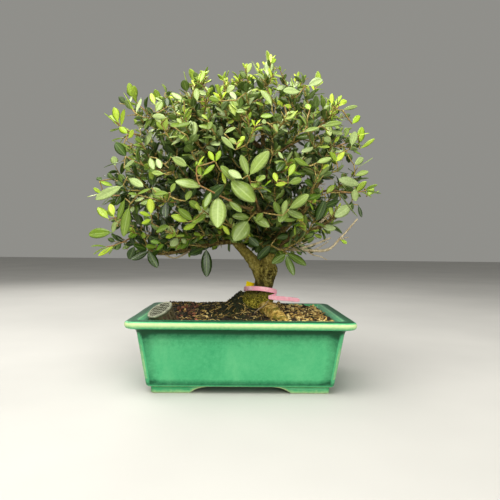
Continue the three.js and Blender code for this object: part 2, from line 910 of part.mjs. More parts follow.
// The lime shoot at the front grows from the end of the first placed spray
crown.push({
  kind: "shoot",
  fixedFoot: placedSprays[0].stem[1].clone().add(at(-0.3, -0.1, 0.5)),
  tip: at(-43, -113, 226),
  outward: at(-0.2, -0.5, 0.84).normalize(),
  start: at(-0.5, -0.2, 0.85).normalize(),
  onSpray: true,
});

// The main wood
const woodSolids = [trunkSolid(0), ...rootSolids(0)];
const joints = [];
const jointSteps = 16;
const branchSides = 4;
const twigSides = 3;
for (const [points, first, last, sides] of Object.values(limbs)) {
  const path = alongCurve(points, points.length + 1);
  const radii = taper(first, last, path.length);
  woodSolids.push(limb(path, radii, sides));
  addStretches(path, radii, "wood", true);
}
for (const [points, first, last] of Object.values(branches)) {
  const path = alongCurve(points, points.length);
  const radii = taper(first, last, path.length);
  woodSolids.push(limb(path, radii, branchSides));
  addStretches(path, radii, "wood", true);
  const fine = alongCurve(points, jointSteps);
  for (let i = 5; i < fine.length; i++) {
    joints.push({
      place: fine[i],
      heading: fine[i].clone().sub(fine[i - 1]).normalize(),
      radius: first + ((last - first) * i) / jointSteps,
    });
  }
}
for (const [points, first, last] of bareTwigs) {
  const path = alongCurve(points, points.length + 1);
  const radii = taper(first, last, path.length);
  woodSolids.push(limb(path, radii, twigSides));
  addStretches(path, radii, "bare", true);
}

function pointsBetween(path, from, to, count) {
  const line = new THREE.CurvePath();
  for (let i = 0; i + 1 < path.length; i++) line.add(new THREE.LineCurve3(path[i], path[i + 1]));
  return taper(from, to, count).map((share) => line.getPoint(share));
}

// Each spray's own branch leaves a main branch that already heads its way, and its stem starts a
// seat gap beyond that branch's end. Both keep clear of what stands already.
const youngStemRadius = 0.95;
const oldStemRadius = 1.15;
const stemTipRadius = 0.6;
const bendCost = 28;
const arrivalCost = 22;
const shorteningCost = 60;
const growthMargin = 1.2;

function growBranch(spray, number) {
  spray.name = "stem" + number;
  spray.branch = "branch" + number;
  const thick = spray.kind === "shoot" ? youngStemRadius : oldStemRadius;
  const tries = [];
  for (const share of spray.fixedFoot ? [1] : [1, 0.86, 0.72, 0.58]) {
    const branchEnd = stemFoot(spray, share);
    const foot = branchEnd.clone().addScaledVector(spray.start, seatGap);
    const through = foot.clone().addScaledVector(spray.start, foot.distanceTo(spray.tip) * 0.5);
    const main = bent(foot, through, spray.tip, 3);
    for (const joint of joints) {
      const run = branchEnd.clone().sub(joint.place);
      const distance = run.length();
      run.normalize();
      const bend = 1 - run.dot(joint.heading);
      const arrival = 1 - run.dot(spray.start);
      const turnCost = bendCost * bend + arrivalCost * arrival;
      const score = distance + turnCost + shorteningCost * (1 - share);
      tries.push({ score, joint, branchEnd, foot, through, main, distance });
    }
  }
  tries.sort((a, b) => a.score - b.score);
  const isStem = (stretch) => !stretch.isWood;
  const found = tries.find((plan) => {
    const back = spray.start.clone().multiplyScalar(-0.45 * plan.distance);
    plan.branch = bent(plan.joint.place, plan.branchEnd.clone().add(back), plan.branchEnd, 2);
    plan.branchRadii = taper(Math.min(plan.joint.radius * 0.8, 2), thick, 3);
    if (spray.onSpray) return true;
    if (!clearOfStretches(pointsBetween(plan.main, 0.06, 1, 12), thick, growthMargin)) return false;
    return clearOfStretches(pointsBetween(plan.branch, 0, 1, 12), 1.6, growthMargin, isStem);
  });
  const plan = found || tries[0];
  if (!spray.onSpray) {
    woodSolids.push(limb(plan.branch, plan.branchRadii, twigSides, { lastHeading: spray.start }));
    addStretches(plan.branch, plan.branchRadii, spray.branch, true);
  }
  spray.foot = plan.foot;
  spray.through = plan.through;
  const radii = taper(thick, stemTipRadius, plan.main.length);
  spray.stems = [{ points: plan.main, radii, sides: twigSides, main: true }];
  addStretches(plan.main, radii, spray.name, false);
}
const placedFirst = crown.filter((spray) => spray.fixedFoot);
const others = crown.filter((spray) => !spray.fixedFoot);
[...placedFirst, ...others].forEach(growBranch);

// Side twigs, where there is room
const twigRadii = [0.75, 0.55];
const youngTwigLength = 12;
const oldTwigLength = 25;

function growTwigs(spray, number) {
  const share = seededShares(1000 + number * 17);
  if (spray.kind === "placed") {
    for (const [from, to] of spray.placed.twigs) {
      spray.stems.push({ points: [from, to], radii: twigRadii, sides: twigSides });
      addStretches([from, to], twigRadii, spray.name, false);
    }
    return;
  }
  const young = spray.kind === "shoot";
  const starts = young ? [0.2] : [0.18, 0.42, 0.66];
  const phase = share() * 2 * Math.PI;
  const curve = new THREE.QuadraticBezierCurve3(spray.foot, spray.through, spray.tip);
  starts.forEach((start, k) => {
    const from = curve.getPoint(start);
    const tangent = curve.getTangent(start);
    const reach = (young ? youngTwigLength : oldTwigLength - 3 * k) * (0.85 + 0.3 * share());
    for (let attempt = 0; attempt < 7; attempt++) {
      const side = at(0, 0, 0).crossVectors(tangent, up).normalize();
      side.applyAxisAngle(tangent, phase + k * goldenAngle + attempt * 0.9);
      const heading = tangent.clone().multiplyScalar(0.62).add(side);
      heading.addScaledVector(spray.outward, 0.15).normalize();
      const to = from.clone().addScaledVector(heading, reach);
      const checks = [0.35, 0.5, 0.65, 0.8, 1].map((s) => from.clone().lerp(to, s));
      if (!clearOfStretches(checks, 0.6, 2.2)) continue;
      spray.stems.push({ points: [from, to], radii: twigRadii, sides: twigSides });
      addStretches([from, to], twigRadii, spray.name, false);
      break;
    }
  });
}
crown.forEach(growTwigs);

// Where leaves stand, as shares of the main stem and of a side twig
const leafShares = {
  spray: [
    [1, 0.72, 0.42, 0.14, 0.86, 0.57, 0.28],
    [1, 0.5],
  ],
  shoot: [[1, 1, 0.8, 0.6], [1]],
};

// The leaves: from the tips inwards, each turned round its stem until it finds room
function growLeaves(spray, number) {
  const share = seededShares(5000 + number * 31);
  spray.leaves = [];
  const keep = (leaf) => {
    leaf.owner = spray.name;
    standingLeaves.push(leaf);
    spray.leaves.push(leaf);
  };
  if (spray.kind === "placed") {
    for (const [place, tip, width] of spray.placed.leaves) {
      const foot = ontoStem(spray, place);
      const run = tip.clone().sub(foot);
      const facing = at(0.1, -0.85, 0.5);
      keep(leafAt(foot, run.clone().normalize(), facing, run.length(), width, 0.05));
    }
    return;
  }
  const young = spray.kind === "shoot";
  const wanted = young ? leavesPerShoot : leavesPerSpray;
  const facing = spray.outward.clone().multiplyScalar(0.65).addScaledVector(up, 0.75).normalize();
  const spots = [];
  spray.stems.forEach((stem, order) => {
    const shares = leafShares[spray.kind][stem.main ? 0 : 1];
    shares.forEach((along, k) => spots.push({ stem, along, k, order }));
  });
  spots.sort((a, b) => a.k - b.k || a.order - b.order);
  for (const { stem, along, k, order } of spots) {
    if (spray.leaves.length >= wanted) break;
    const scale = 0.78 + 0.4 * share();
    const length = (young ? youngLeafLength : leafLength) * scale;
    const width = length * (leafWidthShare - (young ? 0.1 : 0) + 0.08 * share());
    const turn = share() * 2 * Math.PI;
    const curve = new THREE.CatmullRomCurve3(stem.points, false, "catmullrom", 0.5);
    const foot = ontoStem(spray, curve.getPoint(along));
    const tangent = curve.getPoint(Math.min(along + 0.05, 1)).sub(curve.getPoint(Math.min(along, 0.95)));
    tangent.normalize();
    const spread = along === 1 ? 0.55 : 1.25;
    for (let attempt = 0; attempt < 8; attempt++) {
      const side = at(0, 0, 0).crossVectors(tangent, up).normalize();
      side.applyAxisAngle(tangent, turn + (k + order) * goldenAngle + attempt * 0.8);
      const heading = tangent.clone().addScaledVector(side, spread * (young ? 0.7 : 1)).normalize();
      const leaf = leafAt(foot, heading, facing, length, width, 0.1);
      if (leafFits(leaf, spray.name, spray.branch)) {
        keep(leaf);
        break;
      }
    }
  }
}
crown.filter((spray) => spray.kind === "placed").forEach((spray, i) => growLeaves(spray, i));
crown.filter((spray) => spray.kind !== "placed").forEach((spray, i) => growLeaves(spray, i));

function spraySolid(spray) {
  const stems = spray.stems.map(({ points, radii, sides, main }) =>
    limb(points, radii, sides, main ? { firstHeading: spray.start } : {}),
  );
  return joined([...stems, ...spray.leaves.map(leafSolid)]);
}

// Each piece's colour and finish
const finishes = {
  glaze: { color: 0x3fa878, roughness: 0.22, metalness: 0 },
  soil: { color: 0x33271b, roughness: 0.95, metalness: 0 },
  bark: { color: 0x6b5f45, roughness: 0.85, metalness: 0 },
  leaf: { color: 0x3f6b35, roughness: 0.45, metalness: 0 },
  youngLeaf: { color: 0x9cc436, roughness: 0.45, metalness: 0 },
  basket: { color: 0x4a5450, roughness: 0.6, metalness: 0 },
  fertiliser: { color: 0x4c3a28, roughness: 0.95, metalness: 0 },
  pinkLabel: { color: 0xe0709c, roughness: 0.4, metalness: 0 },
  yellowTab: { color: 0xf0c020, roughness: 0.45, metalness: 0 },
  screen: { color: 0x1d1f1e, roughness: 0.6, metalness: 0 },
  wire: { color: 0x9a8f84, roughness: 0.4, metalness: 0.9 },
};
const materials = Object.fromEntries(
  Object.entries(finishes).map(([name, values]) => [name, new THREE.MeshStandardMaterial(values)]),
);

const bonsai = new THREE.Group();

function place(name, solid, finish) {
  const mesh = new THREE.Mesh(geometryOf(solid), materials[finish]);
  mesh.name = name;
  bonsai.add(mesh);
  return mesh;
}

const wood = joined(woodSolids);
place("tree_wood", wood, "bark");

const numbers = { spray: 0, placed: 0, shoot: 0 };
const nodeNames = { spray: "leafy_spray_", placed: "front_spray_", shoot: "new_shoot_" };
for (const spray of crown) {
  numbers[spray.kind] += 1;
  const name = nodeNames[spray.kind] + String(numbers[spray.kind]).padStart(2, "0");
  place(name, spraySolid(spray), spray.kind === "shoot" ? "youngLeaf" : "leaf");
}

place("pot", makePot(), "glaze");
const soilHollows = [trunkSolid(rootGap), ...rootSolids(rootGap), basketHollow()];
for (const [side, x] of [
  ["left", -drainSpacing / 2],
  ["right", drainSpacing / 2],
]) {
  place("drain_screen_" + side, makeScreen(x), "screen");
  place("screen_wire_" + side, makeWire(x), "wire");
  soilHollows.push(screenHollow(x));
}
place("soil", makeSoil().subtract(joined(soilHollows)), "soil");
place("basket_cup", makeBasketCup(), "basket");
place("basket_lid", makeBasketLid(), "basket");
place("fertiliser_cake", makeFertiliserCake(), "fertiliser");
place("label_band", makeLabelBand(), "pinkLabel");
place("yellow_tab", makeYellowTab(), "yellowTab");

// The part's frame: the floor under the feet at Z 0, the middle of the whole's reach at X 0 and Y 0
const reach = new THREE.Box3().setFromObject(bonsai);
const middle = reach.getCenter(at(0, 0, 0));
bonsai.position.set(-middle.x, -middle.y, 0);

export default bonsai;
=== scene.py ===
import math

import bpy
import numpy as np
from mathutils import Matrix, Vector, noise


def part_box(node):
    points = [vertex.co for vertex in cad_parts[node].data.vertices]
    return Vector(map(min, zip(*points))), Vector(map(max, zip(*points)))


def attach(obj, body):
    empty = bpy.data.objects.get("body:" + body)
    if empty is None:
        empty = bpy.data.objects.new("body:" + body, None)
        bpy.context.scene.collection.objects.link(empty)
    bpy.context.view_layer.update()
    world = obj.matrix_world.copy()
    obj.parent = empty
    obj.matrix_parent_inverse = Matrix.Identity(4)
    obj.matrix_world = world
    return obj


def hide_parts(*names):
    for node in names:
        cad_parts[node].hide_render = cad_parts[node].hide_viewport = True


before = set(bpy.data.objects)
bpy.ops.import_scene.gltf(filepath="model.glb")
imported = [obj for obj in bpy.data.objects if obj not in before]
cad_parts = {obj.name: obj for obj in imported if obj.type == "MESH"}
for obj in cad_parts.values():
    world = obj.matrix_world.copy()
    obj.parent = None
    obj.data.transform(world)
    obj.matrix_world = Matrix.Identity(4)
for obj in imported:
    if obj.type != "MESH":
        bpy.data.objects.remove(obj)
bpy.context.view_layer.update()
potLow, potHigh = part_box("pot")
potMiddle = np.array([(potLow[0] + potHigh[0]) / 2, (potLow[1] + potHigh[1]) / 2, 0.0])
up = np.array([0.0, 0.0, 1.0])
goldenAngle = math.pi * (3 - math.sqrt(5))
print("frame loaded")


def vec(*numbers):
    return np.array(numbers, float)


def unit(v):
    return v / (math.sqrt(float(v @ v)) or 1.0)


def toMetres(points):
    return np.asarray(points, float) * 0.001 + potMiddle


def turned(v, axis, angle):
    c, s = math.cos(angle), math.sin(angle)
    return v * c + np.cross(axis, v) * s + axis * float(axis @ v) * (1 - c)


def roughness3(point, scale, depth=3):
    # a soft cloud of bumps, about -1 to 1
    return noise.fractal(Vector(point) / scale, 0.9, 2.0, depth, noise_basis="PERLIN_ORIGINAL")


# Shapes gather in a heap of corners and faces, and become one piece at the end
class Heap:
    def __init__(self, markNames=()):
        self.points, self.faces, self.slots, self.count = [], [], [], 0
        self.marks = {name: [] for name in markNames}

    def add(self, points, faces, slot=0, **marks):
        points = np.asarray(points, float).reshape(-1, 3)
        for face in faces:
            face = np.asarray(face, int)
            self.faces.append(face + self.count)
            self.slots.append(np.full(len(face), slot) if np.isscalar(slot) else slot)
        self.points.append(points)
        for name, kept in self.marks.items():
            value = marks.get(name, 0.0)
            kept.append(
                np.full(len(points), float(value)) if np.isscalar(value) else np.asarray(value, float)
            )
        self.count += len(points)

    def piece(self, name, materials, slot, replaces=(), smooth=True, sharpAngle=None):
        corners = [row for face in self.faces for row in face.tolist()]
        mesh = bpy.data.meshes.new(name)
        mesh.from_pydata(toMetres(np.concatenate(self.points)).tolist(), [], corners)
        mesh.polygons.foreach_set("material_index", np.concatenate(self.slots).astype(np.int32))
        mesh.polygons.foreach_set("use_smooth", np.full(len(corners), smooth))
        for markName, kept in self.marks.items():
            layer = mesh.attributes.new(markName, "FLOAT", "POINT")
            layer.data.foreach_set("value", np.concatenate(kept).astype(np.float32))
        for material in materials:
            mesh.materials.append(material)
        mesh.update()
        if sharpAngle:
            mesh.set_sharp_from_angle(angle=math.radians(sharpAngle))
        thing = bpy.data.objects.new(name, mesh)
        bpy.context.scene.collection.objects.link(thing)
        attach(thing, "root")
        if replaces:
            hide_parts(*replaces)
        print(f"{name}: {len(corners)} faces")


def bandFaces(rows, count, closed=True):
    # the quads between rows of points, each row a ring or an open line
    steps = count if closed else count - 1
    r, i = np.meshgrid(np.arange(rows - 1), np.arange(steps), indexing="ij")
    a = r * count + i
    b = r * count + (i + 1) % count
    return np.stack([a, b, b + count, a + count], -1).reshape(-1, 4)


def fanFaces(first, count, reverse):
    k = np.arange(1, count - 1)
    fan = np.stack([np.full(len(k), first), first + k, first + k + 1], -1)
    return fan[:, ::-1] if reverse else fan


def taper(first, last, count):
    return [first + (last - first) * i / (count - 1) for i in range(count)]


def tube(path, radii, sides, capped=True, knots=0.0, seed=0.0):
    # a round limb along a path, with knots as a share of its radius
    path = np.asarray(path, float)
    heading = unit(path[1] - path[0])
    side = unit(np.cross(heading, up if abs(heading[2]) < 0.9 else vec(1, 0, 0)))
    rings = []
    for i, point in enumerate(path):
        ahead = unit(path[min(i + 1, len(path) - 1)] - path[max(i - 1, 0)])
        side = unit(side - ahead * float(side @ ahead))
        other = np.cross(ahead, side)
        for k in range(sides):
            angle = 2 * math.pi * k / sides
            out = side * math.cos(angle) + other * math.sin(angle)
            reach = radii[i]
            if knots:
                reach *= 1 + knots * roughness3(point + out * radii[i] + seed, radii[i] * 1.6 + 1.0)
            rings.append(point + out * reach)
    faces = [bandFaces(len(path), sides)]
    if capped:
        faces.append(fanFaces(0, sides, True))
        faces.append(fanFaces((len(path) - 1) * sides, sides, False))
    return np.array(rings), faces


# Finishes are node trees, built with a few short words
class Finish:
    def __init__(self, name):
        self.material = bpy.data.materials.new(name)
        self.material.use_nodes = True
        self.tree = self.material.node_tree
        self.shader = self.tree.nodes["Principled BSDF"]

    def put(self, socket, value):
        if isinstance(value, bpy.types.NodeSocket):
            self.tree.links.new(value, socket)
        elif socket.type == "RGBA" and len(value) == 3:
            socket.default_value = (*value, 1)
        else:
            socket.default_value = value

    def node(self, kind, inputs=None, **settings):
        made = self.tree.nodes.new("ShaderNode" + kind)
        for key, value in settings.items():
            setattr(made, key, value)
        for key, value in (inputs or {}).items():
            self.put(made.inputs[key], value)
        return made

    def set(self, **values):
        names = {"color": "Base Color", "rough": "Roughness", "normal": "Normal", "coat": "Coat Weight"}
        names |= {"coatRough": "Coat Roughness", "metal": "Metallic", "shine": "Specular IOR Level"}
        for key, value in values.items():
            self.put(self.shader.inputs[names[key]], value)
        return self.material

    def place(self, scale=(1, 1, 1), turn=(0, 0, 0)):
        spot = self.node("TexCoord").outputs["Object"]
        return self.node("Mapping", {"Vector": spot, "Scale": scale, "Rotation": turn}).outputs["Vector"]

    def mark(self, name):
        return self.node("Attribute", attribute_name=name).outputs["Fac"]

    def clouds(self, scale, detail=4.0, rough=0.6, spot=None, warp=0.0):
        inputs = {"Scale": scale, "Detail": detail, "Roughness": rough, "Distortion": warp}
        inputs["Vector"] = spot or self.place()
        return self.node("TexNoise", inputs).outputs["Fac"]

    def cells(self, scale, feature, spot):
        inputs = {"Scale": scale, "Vector": spot}
        return self.node("TexVoronoi", inputs, feature=feature).outputs["Distance"]

    def ramp(self, share, stops):
        made = self.node("ValToRGB", {"Fac": share})
        points = made.color_ramp.elements
        while len(points) < len(stops):
            points.new(0.5)
        for point, (place, color) in zip(points, stops):
            point.position = place
            point.color = (*color, 1) if not np.isscalar(color) else (color, color, color, 1)
        return made.outputs["Color"]

    def mix(self, share, first, second):
        made = self.node("Mix", data_type="RGBA")
        for socket, value in zip([made.inputs[0], made.inputs[6], made.inputs[7]], [share, first, second]):
            self.put(socket, value)
        return made.outputs[2]

    def sum(self, kind, first, second=0.0):
        made = self.node("Math", operation=kind)
        for socket, value in zip(made.inputs, [first, second]):
            self.put(socket, value)
        return made.outputs[0]

    def span(self, value, low, high, outLow=0.0, outHigh=1.0):
        inputs = {"Value": value, "From Min": low, "From Max": high, "To Min": outLow, "To Max": outHigh}
        return self.node("MapRange", inputs).outputs["Result"]

    def bump(self, height, depth, strength=1.0, normal=None):
        inputs = {"Height": height, "Distance": depth, "Strength": strength}
        if normal:
            inputs["Normal"] = normal
        return self.node("Bump", inputs).outputs["Normal"]


# The camera looks at the show side, a little turned and tilted
camera = {
    "place": (-2.02, -590.64, 150.10),
    "yaw": -1.13,
    "pitch": -0.24,
    "roll": 0.636,
    "lens": 36.68,
    "sensor": 36,
    "nearest": 0.01,
}


def viewAxes(yaw, pitch, roll):
    # to the right, to the top and ahead, as a camera with these turns sees it
    ahead = vec(-math.sin(yaw) * math.cos(pitch), math.cos(yaw) * math.cos(pitch), math.sin(pitch))
    level = vec(math.cos(yaw), math.sin(yaw), 0)
    rise = np.cross(level, ahead)
    right = level * math.cos(roll) + rise * math.sin(roll)
    top = rise * math.cos(roll) - level * math.sin(roll)
    return right, top, ahead


def setCamera():
    right, top, ahead = viewAxes(*(math.radians(camera[key]) for key in ("yaw", "pitch", "roll")))
    lens = bpy.data.cameras.new("camera")
    lens.lens, lens.sensor_width, lens.clip_start = camera["lens"], camera["sensor"], camera["nearest"]
    viewer = bpy.data.objects.new("camera", lens)
    bpy.context.scene.collection.objects.link(viewer)
    turn = Matrix(np.stack([right, top, -ahead], 1).tolist()).to_4x4()
    viewer.matrix_world = Matrix.Translation(Vector(toMetres(camera["place"]))) @ turn
    bpy.context.scene.camera = viewer


setCamera()

# Soft light from a wide window above, a weaker one in front, and a pale surround
lighting = {
    "overhead": {"place": (-0.25, -0.55, 1.35), "size": 1.2, "power": 33},
    "front": {"place": (0.45, -1.5, 0.75), "size": 1.1, "power": 16},
    "rear": {"place": (-0.7, 0.9, 1.0), "size": 1.0, "power": 9},
    "tint": (1.0, 0.98, 0.92),
    "target": (0, 0, 0.15),
    "surround": (0.87, 0.86, 0.80),
    "surroundStrength": 0.32,
}


def setLights():
    for name in ("overhead", "front", "rear"):
        values = lighting[name]
        lamp = bpy.data.lights.new(name, "AREA")
        lamp.shape, lamp.size, lamp.energy = "SQUARE", values["size"], values["power"]
        lamp.color = lighting["tint"]
        holder = bpy.data.objects.new(name, lamp)
        bpy.context.scene.collection.objects.link(holder)
        spot = Vector(values["place"])
        aim = (spot - Vector(lighting["target"])).to_track_quat("Z", "Y")
        holder.matrix_world = Matrix.Translation(spot) @ aim.to_matrix().to_4x4()
    world = bpy.data.worlds.new("surround")
    world.use_nodes = True
    back = world.node_tree.nodes["Background"]
    back.inputs["Color"].default_value = (*lighting["surround"], 1)
    back.inputs["Strength"].default_value = lighting["surroundStrength"]
    bpy.context.scene.world = world
    bpy.context.scene.view_settings.view_transform = "Standard"


def makeFloor():
    finish = Finish("paleFloor")
    tone = finish.ramp(finish.clouds(3, 3), [(0.3, (0.47, 0.465, 0.45)), (0.7, (0.53, 0.523, 0.505))])
    floorFinish = finish.set(color=tone, rough=0.75)
    mesh = bpy.data.meshes.new("floor")
    side = 6.0
    mesh.from_pydata(
        [(-side, -side, 0), (side, -side, 0), (side, side, 0), (-side, side, 0)], [], [(0, 1, 2, 3)]
    )
    mesh.materials.append(floorFinish)
    thing = bpy.data.objects.new("floor", mesh)
    bpy.context.scene.collection.objects.link(thing)


setLights()
makeFloor()
print("camera, lights and floor set")

# The pot: its wall section from the foot up, over the rolled lip and down inside, as inset from
# the rim's outermost line, height, corner radius and how thin the glaze runs there. That last
# column also carries painted light: a painted highlight on the lip's rounded front, a painted dark
# reflection on the ledge on top and painted shade in the cove under the lip
pot = {
    "width": 233,
    "depth": 181,
    "footHeight": 7.5,
    "floorTop": 15.5,
    "section": [
        (24.5, 7.5, 4.5, 0.0),
        (21.8, 7.5, 5.0, 0.9),
        (20.6, 7.7, 5.4, 0.8),
        (19.7, 8.5, 6.0, 0.1),
        (19.1, 10.2, 6.4, -0.85),
        (18.7, 12.8, 6.5, -0.6),
        (18.1, 16.5, 6.6, -0.05),
        (16.2, 28.0, 6.6, 0.0),
        (13.9, 43.0, 6.8, 0.0),
        (11.8, 56.5, 7.0, -0.25),
        (10.9, 62.5, 7.0, -0.8),
        (10.2, 65.6, 7.2, -1.3),
        (9.0, 67.2, 7.6, -1.4),
        (6.9, 68.1, 8.0, -1.2),
        (4.2, 68.5, 8.6, -0.6),
        (2.3, 69.0, 9.0, 0.1),
        (1.0, 69.9, 9.3, 0.35),
        (0.3, 71.2, 9.5, 0.55),
        (0.0, 72.5, 9.5, 0.8),
        (0.1, 73.9, 9.4, 0.95),
        (0.5, 75.1, 9.2, 0.75),
        (1.1, 75.8, 9.0, -0.1),
        (2.0, 76.4, 8.7, -0.8),
        (3.4, 76.8, 8.2, -1.1),
        (6.5, 76.85, 7.4, -1.0),
        (10.6, 76.8, 6.4, -0.85),
        (11.6, 76.8, 6.2, 0.1),
        (12.6, 76.6, 6.0, 0.5),
        (13.8, 75.9, 5.8, 0.2),
        (16.2, 73.9, 5.2, -0.5),
        (19.3, 70.0, 5.0, -0.6),
        (26.4, 16.4, 5.0, 0.0),
    ],
    "cornerSteps": 14,
    "sideSteps": 16,
    "wobble": 0.22,
    "footInset": 24,
    "footLength": 40.5,
    "sideFootLength": 32,
    "footThickness": 11,
    "footCorner": 4.5,
    "ogeeLength": 18.8,
    "drainRadius": 9,
    "drainSpacing": 96,
}


def cornerRing(halfX, halfY, radius, z):
    # a rectangle's outline with round corners
    cornerSteps, sideSteps = pot["cornerSteps"], pot["sideSteps"]
    ring = []
    signs = [(1, 1), (-1, 1), (-1, -1), (1, -1)]
    for corner, (sx, sy) in enumerate(signs):
        for k in range(cornerSteps + 1):
            angle = (corner + k / cornerSteps) * math.pi / 2
            x = sx * (halfX - radius) + radius * math.cos(angle)
            ring.append((x, sy * (halfY - radius) + radius * math.sin(angle), z))
        start = ring[-1]
        tx, ty = signs[(corner + 1) % 4]
        turn = (corner + 1) * math.pi / 2
        endX = tx * (halfX - radius) + radius * math.cos(turn)
        endY = ty * (halfY - radius) + radius * math.sin(turn)
        for k in range(1, sideSteps):
            share = k / sideSteps
            ring.append((start[0] + (endX - start[0]) * share, start[1] + (endY - start[1]) * share, z))
    return ring


def footProfile():
    # the underside of a bracket foot, as distance past its toe and height
    ogee, rise = pot["ogeeLength"], pot["footHeight"]
    places = [(-1000.0, 0.0)]
    for k in range(9):
        q = k / 8
        places.append(
            (ogee * (2 * q * (1 - q) * 0.35 + q * q * 0.85), rise * (2 * q * (1 - q) * 0.72 + q * q * 0.82))
        )
    places.append((ogee, rise - 0.4))
    return np.array(places)


def addFeet(heap):
    outerX, outerY = pot["width"] / 2 - pot["footInset"], pot["depth"] / 2 - pot["footInset"]
    profile = footProfile()
    radius, thick = pot["footCorner"], pot["footThickness"]
    longRun = pot["footLength"] + pot["ogeeLength"]
    sideRun = pot["sideFootLength"] + pot["ogeeLength"]
    stations = []
    for along in np.concatenate(
        [np.linspace(0, pot["ogeeLength"], 12), np.linspace(pot["ogeeLength"] + 2, longRun - radius, 6)]
    ):
        stations.append((outerX - longRun + along, outerY, 0, 1, longRun - along - pot["footLength"]))
    for k in range(1, 7):
        angle = math.pi / 2 * (1 - k / 7)
        c, s = math.cos(angle), math.sin(angle)
        stations.append((outerX - radius + radius * c, outerY - radius + radius * s, c, s, -1))
    for along in np.concatenate(
        [
            np.linspace(radius, sideRun - pot["ogeeLength"] - 2, 6),
            np.linspace(sideRun - pot["ogeeLength"], sideRun, 12)
        ]
    ):
        stations.append((outerX, outerY - along, 1, 0, along - pot["sideFootLength"]))
    top = pot["footHeight"] + 0.8
    rows, thin = [], []
    for x, y, nx, ny, past in stations:
        low = float(np.interp(past, profile[:, 0], profile[:, 1]))
        ease = min(1.4, (top - low) / 2)
        inX = min(x, outerX - thick) if nx > 0.5 or past < 0 and x > outerX - thick else x
        inY = min(y, outerY - thick) if ny > 0.5 or past < 0 and y > outerY - thick else y
        if nx and ny:
            inX, inY = outerX - thick, outerY - thick
        inner = np.array([inX, inY])
        outer = np.array([x, y])
        inward = np.array([nx, ny])
        rows.append([
            (*outer, top), (*outer, low + ease), (*(outer - inward * ease * 0.3), low + ease * 0.3),
            (*(outer - inward * ease), low), (*(inner + inward * ease), low), (*inner, low + ease),
            (*inner, top),
        ])
        thin.append([-0.1, 0.55, 1.0, 0.7, 0.5, 0.2, 0])
    rows = np.array(rows, float)
    thin = np.array(thin)
    count = rows.shape[1]
    faces = bandFaces(len(rows), count)
    ends = [fanFaces(0, count, True), fanFaces((len(rows) - 1) * count, count, False)]
    for sx, sy in ((1, 1), (-1, 1), (-1, -1), (1, -1)):
        points = rows.reshape(-1, 3) * np.array([sx, sy, 1])
        flip = sx * sy > 0
        turnedFaces = [face[:, ::-1] if flip else face for face in [faces, *ends]]
        heap.add(points, turnedFaces, thin=thin.reshape(-1))


def makePot():
    heap = Heap(["thin"])
    rings, thin = [], []
    section = pot["section"]
    for inset, z, radius, glaze in section:
        ring = cornerRing(pot["width"] / 2 - inset, pot["depth"] / 2 - inset, radius, z)
        for k, (x, y, zz) in enumerate(ring):
            shift = pot["wobble"] * roughness3((x, y, zz * 0.6), 55, 2)
            out = unit(vec(x, y, 0))
            rings.append((x + out[0] * shift, y + out[1] * shift, zz + 0.5 * shift))
            # on the wall the glaze runs thin over each corner and pools beside it
            past = abs(k % (pot["cornerSteps"] + pot["sideSteps"]) - pot["cornerSteps"] / 2)
            edge = 0.5 if past < 4 else -0.5 if 5 < past <= pot["cornerSteps"] / 2 else 0
            thin.append(glaze + (edge if 12 < z < 64 else 0))
    count = len(rings) // len(section)
    faces = [bandFaces(len(section), count)]
    heap.add(rings, faces, thin=thin)
    # the floor, inside and outside, each with its two drains
    for level, inset, reverse in ((pot["floorTop"] + 0.4, 26.4, False), (pot["footHeight"], 22.5, True)):
        addFloor(heap, level, pot["width"] / 2 - inset, pot["depth"] / 2 - inset, reverse)
    addFeet(heap)
    heap.piece("glazedPot", [makeGlaze()], "glaze", ["pot"])


def addFloor(heap, level, halfX, halfY, reverse):
    # a plate with a round hole in each half, drawn as rings from the hole out to the half's edge
    turns = 32
    for side in (-1, 1):
        middle = np.array([side * pot["drainSpacing"] / 2, 0.0])
        rows = []
        for share in (0, 0.25, 0.6, 1):
            for k in range(turns):
                angle = 2 * math.pi * k / turns
                direction = np.array([math.cos(angle), math.sin(angle)])
                lowX, highX = (-halfX, 0) if side < 0 else (0, halfX)
                sideX = (highX if direction[0] > 0 else lowX) - middle[0]
                reachX = sideX / direction[0] if abs(direction[0]) > 1e-6 else math.inf
                reachY = halfY / abs(direction[1]) if abs(direction[1]) > 1e-6 else math.inf
                edge = min(reachX, reachY)
                reach = pot["drainRadius"] + (edge - pot["drainRadius"]) * share
                place = middle + direction * reach
                rows.append((place[0], place[1], level))
        faces = bandFaces(4, turns)
        heap.add(rows, [faces[:, ::-1] if reverse else faces], thin=-0.2)
        if not reverse:
            wall = [(*row[:2], pot["footHeight"]) for row in rows[:turns]] + rows[:turns]
            heap.add(wall, [bandFaces(2, turns)[:, ::-1]], thin=0.2)


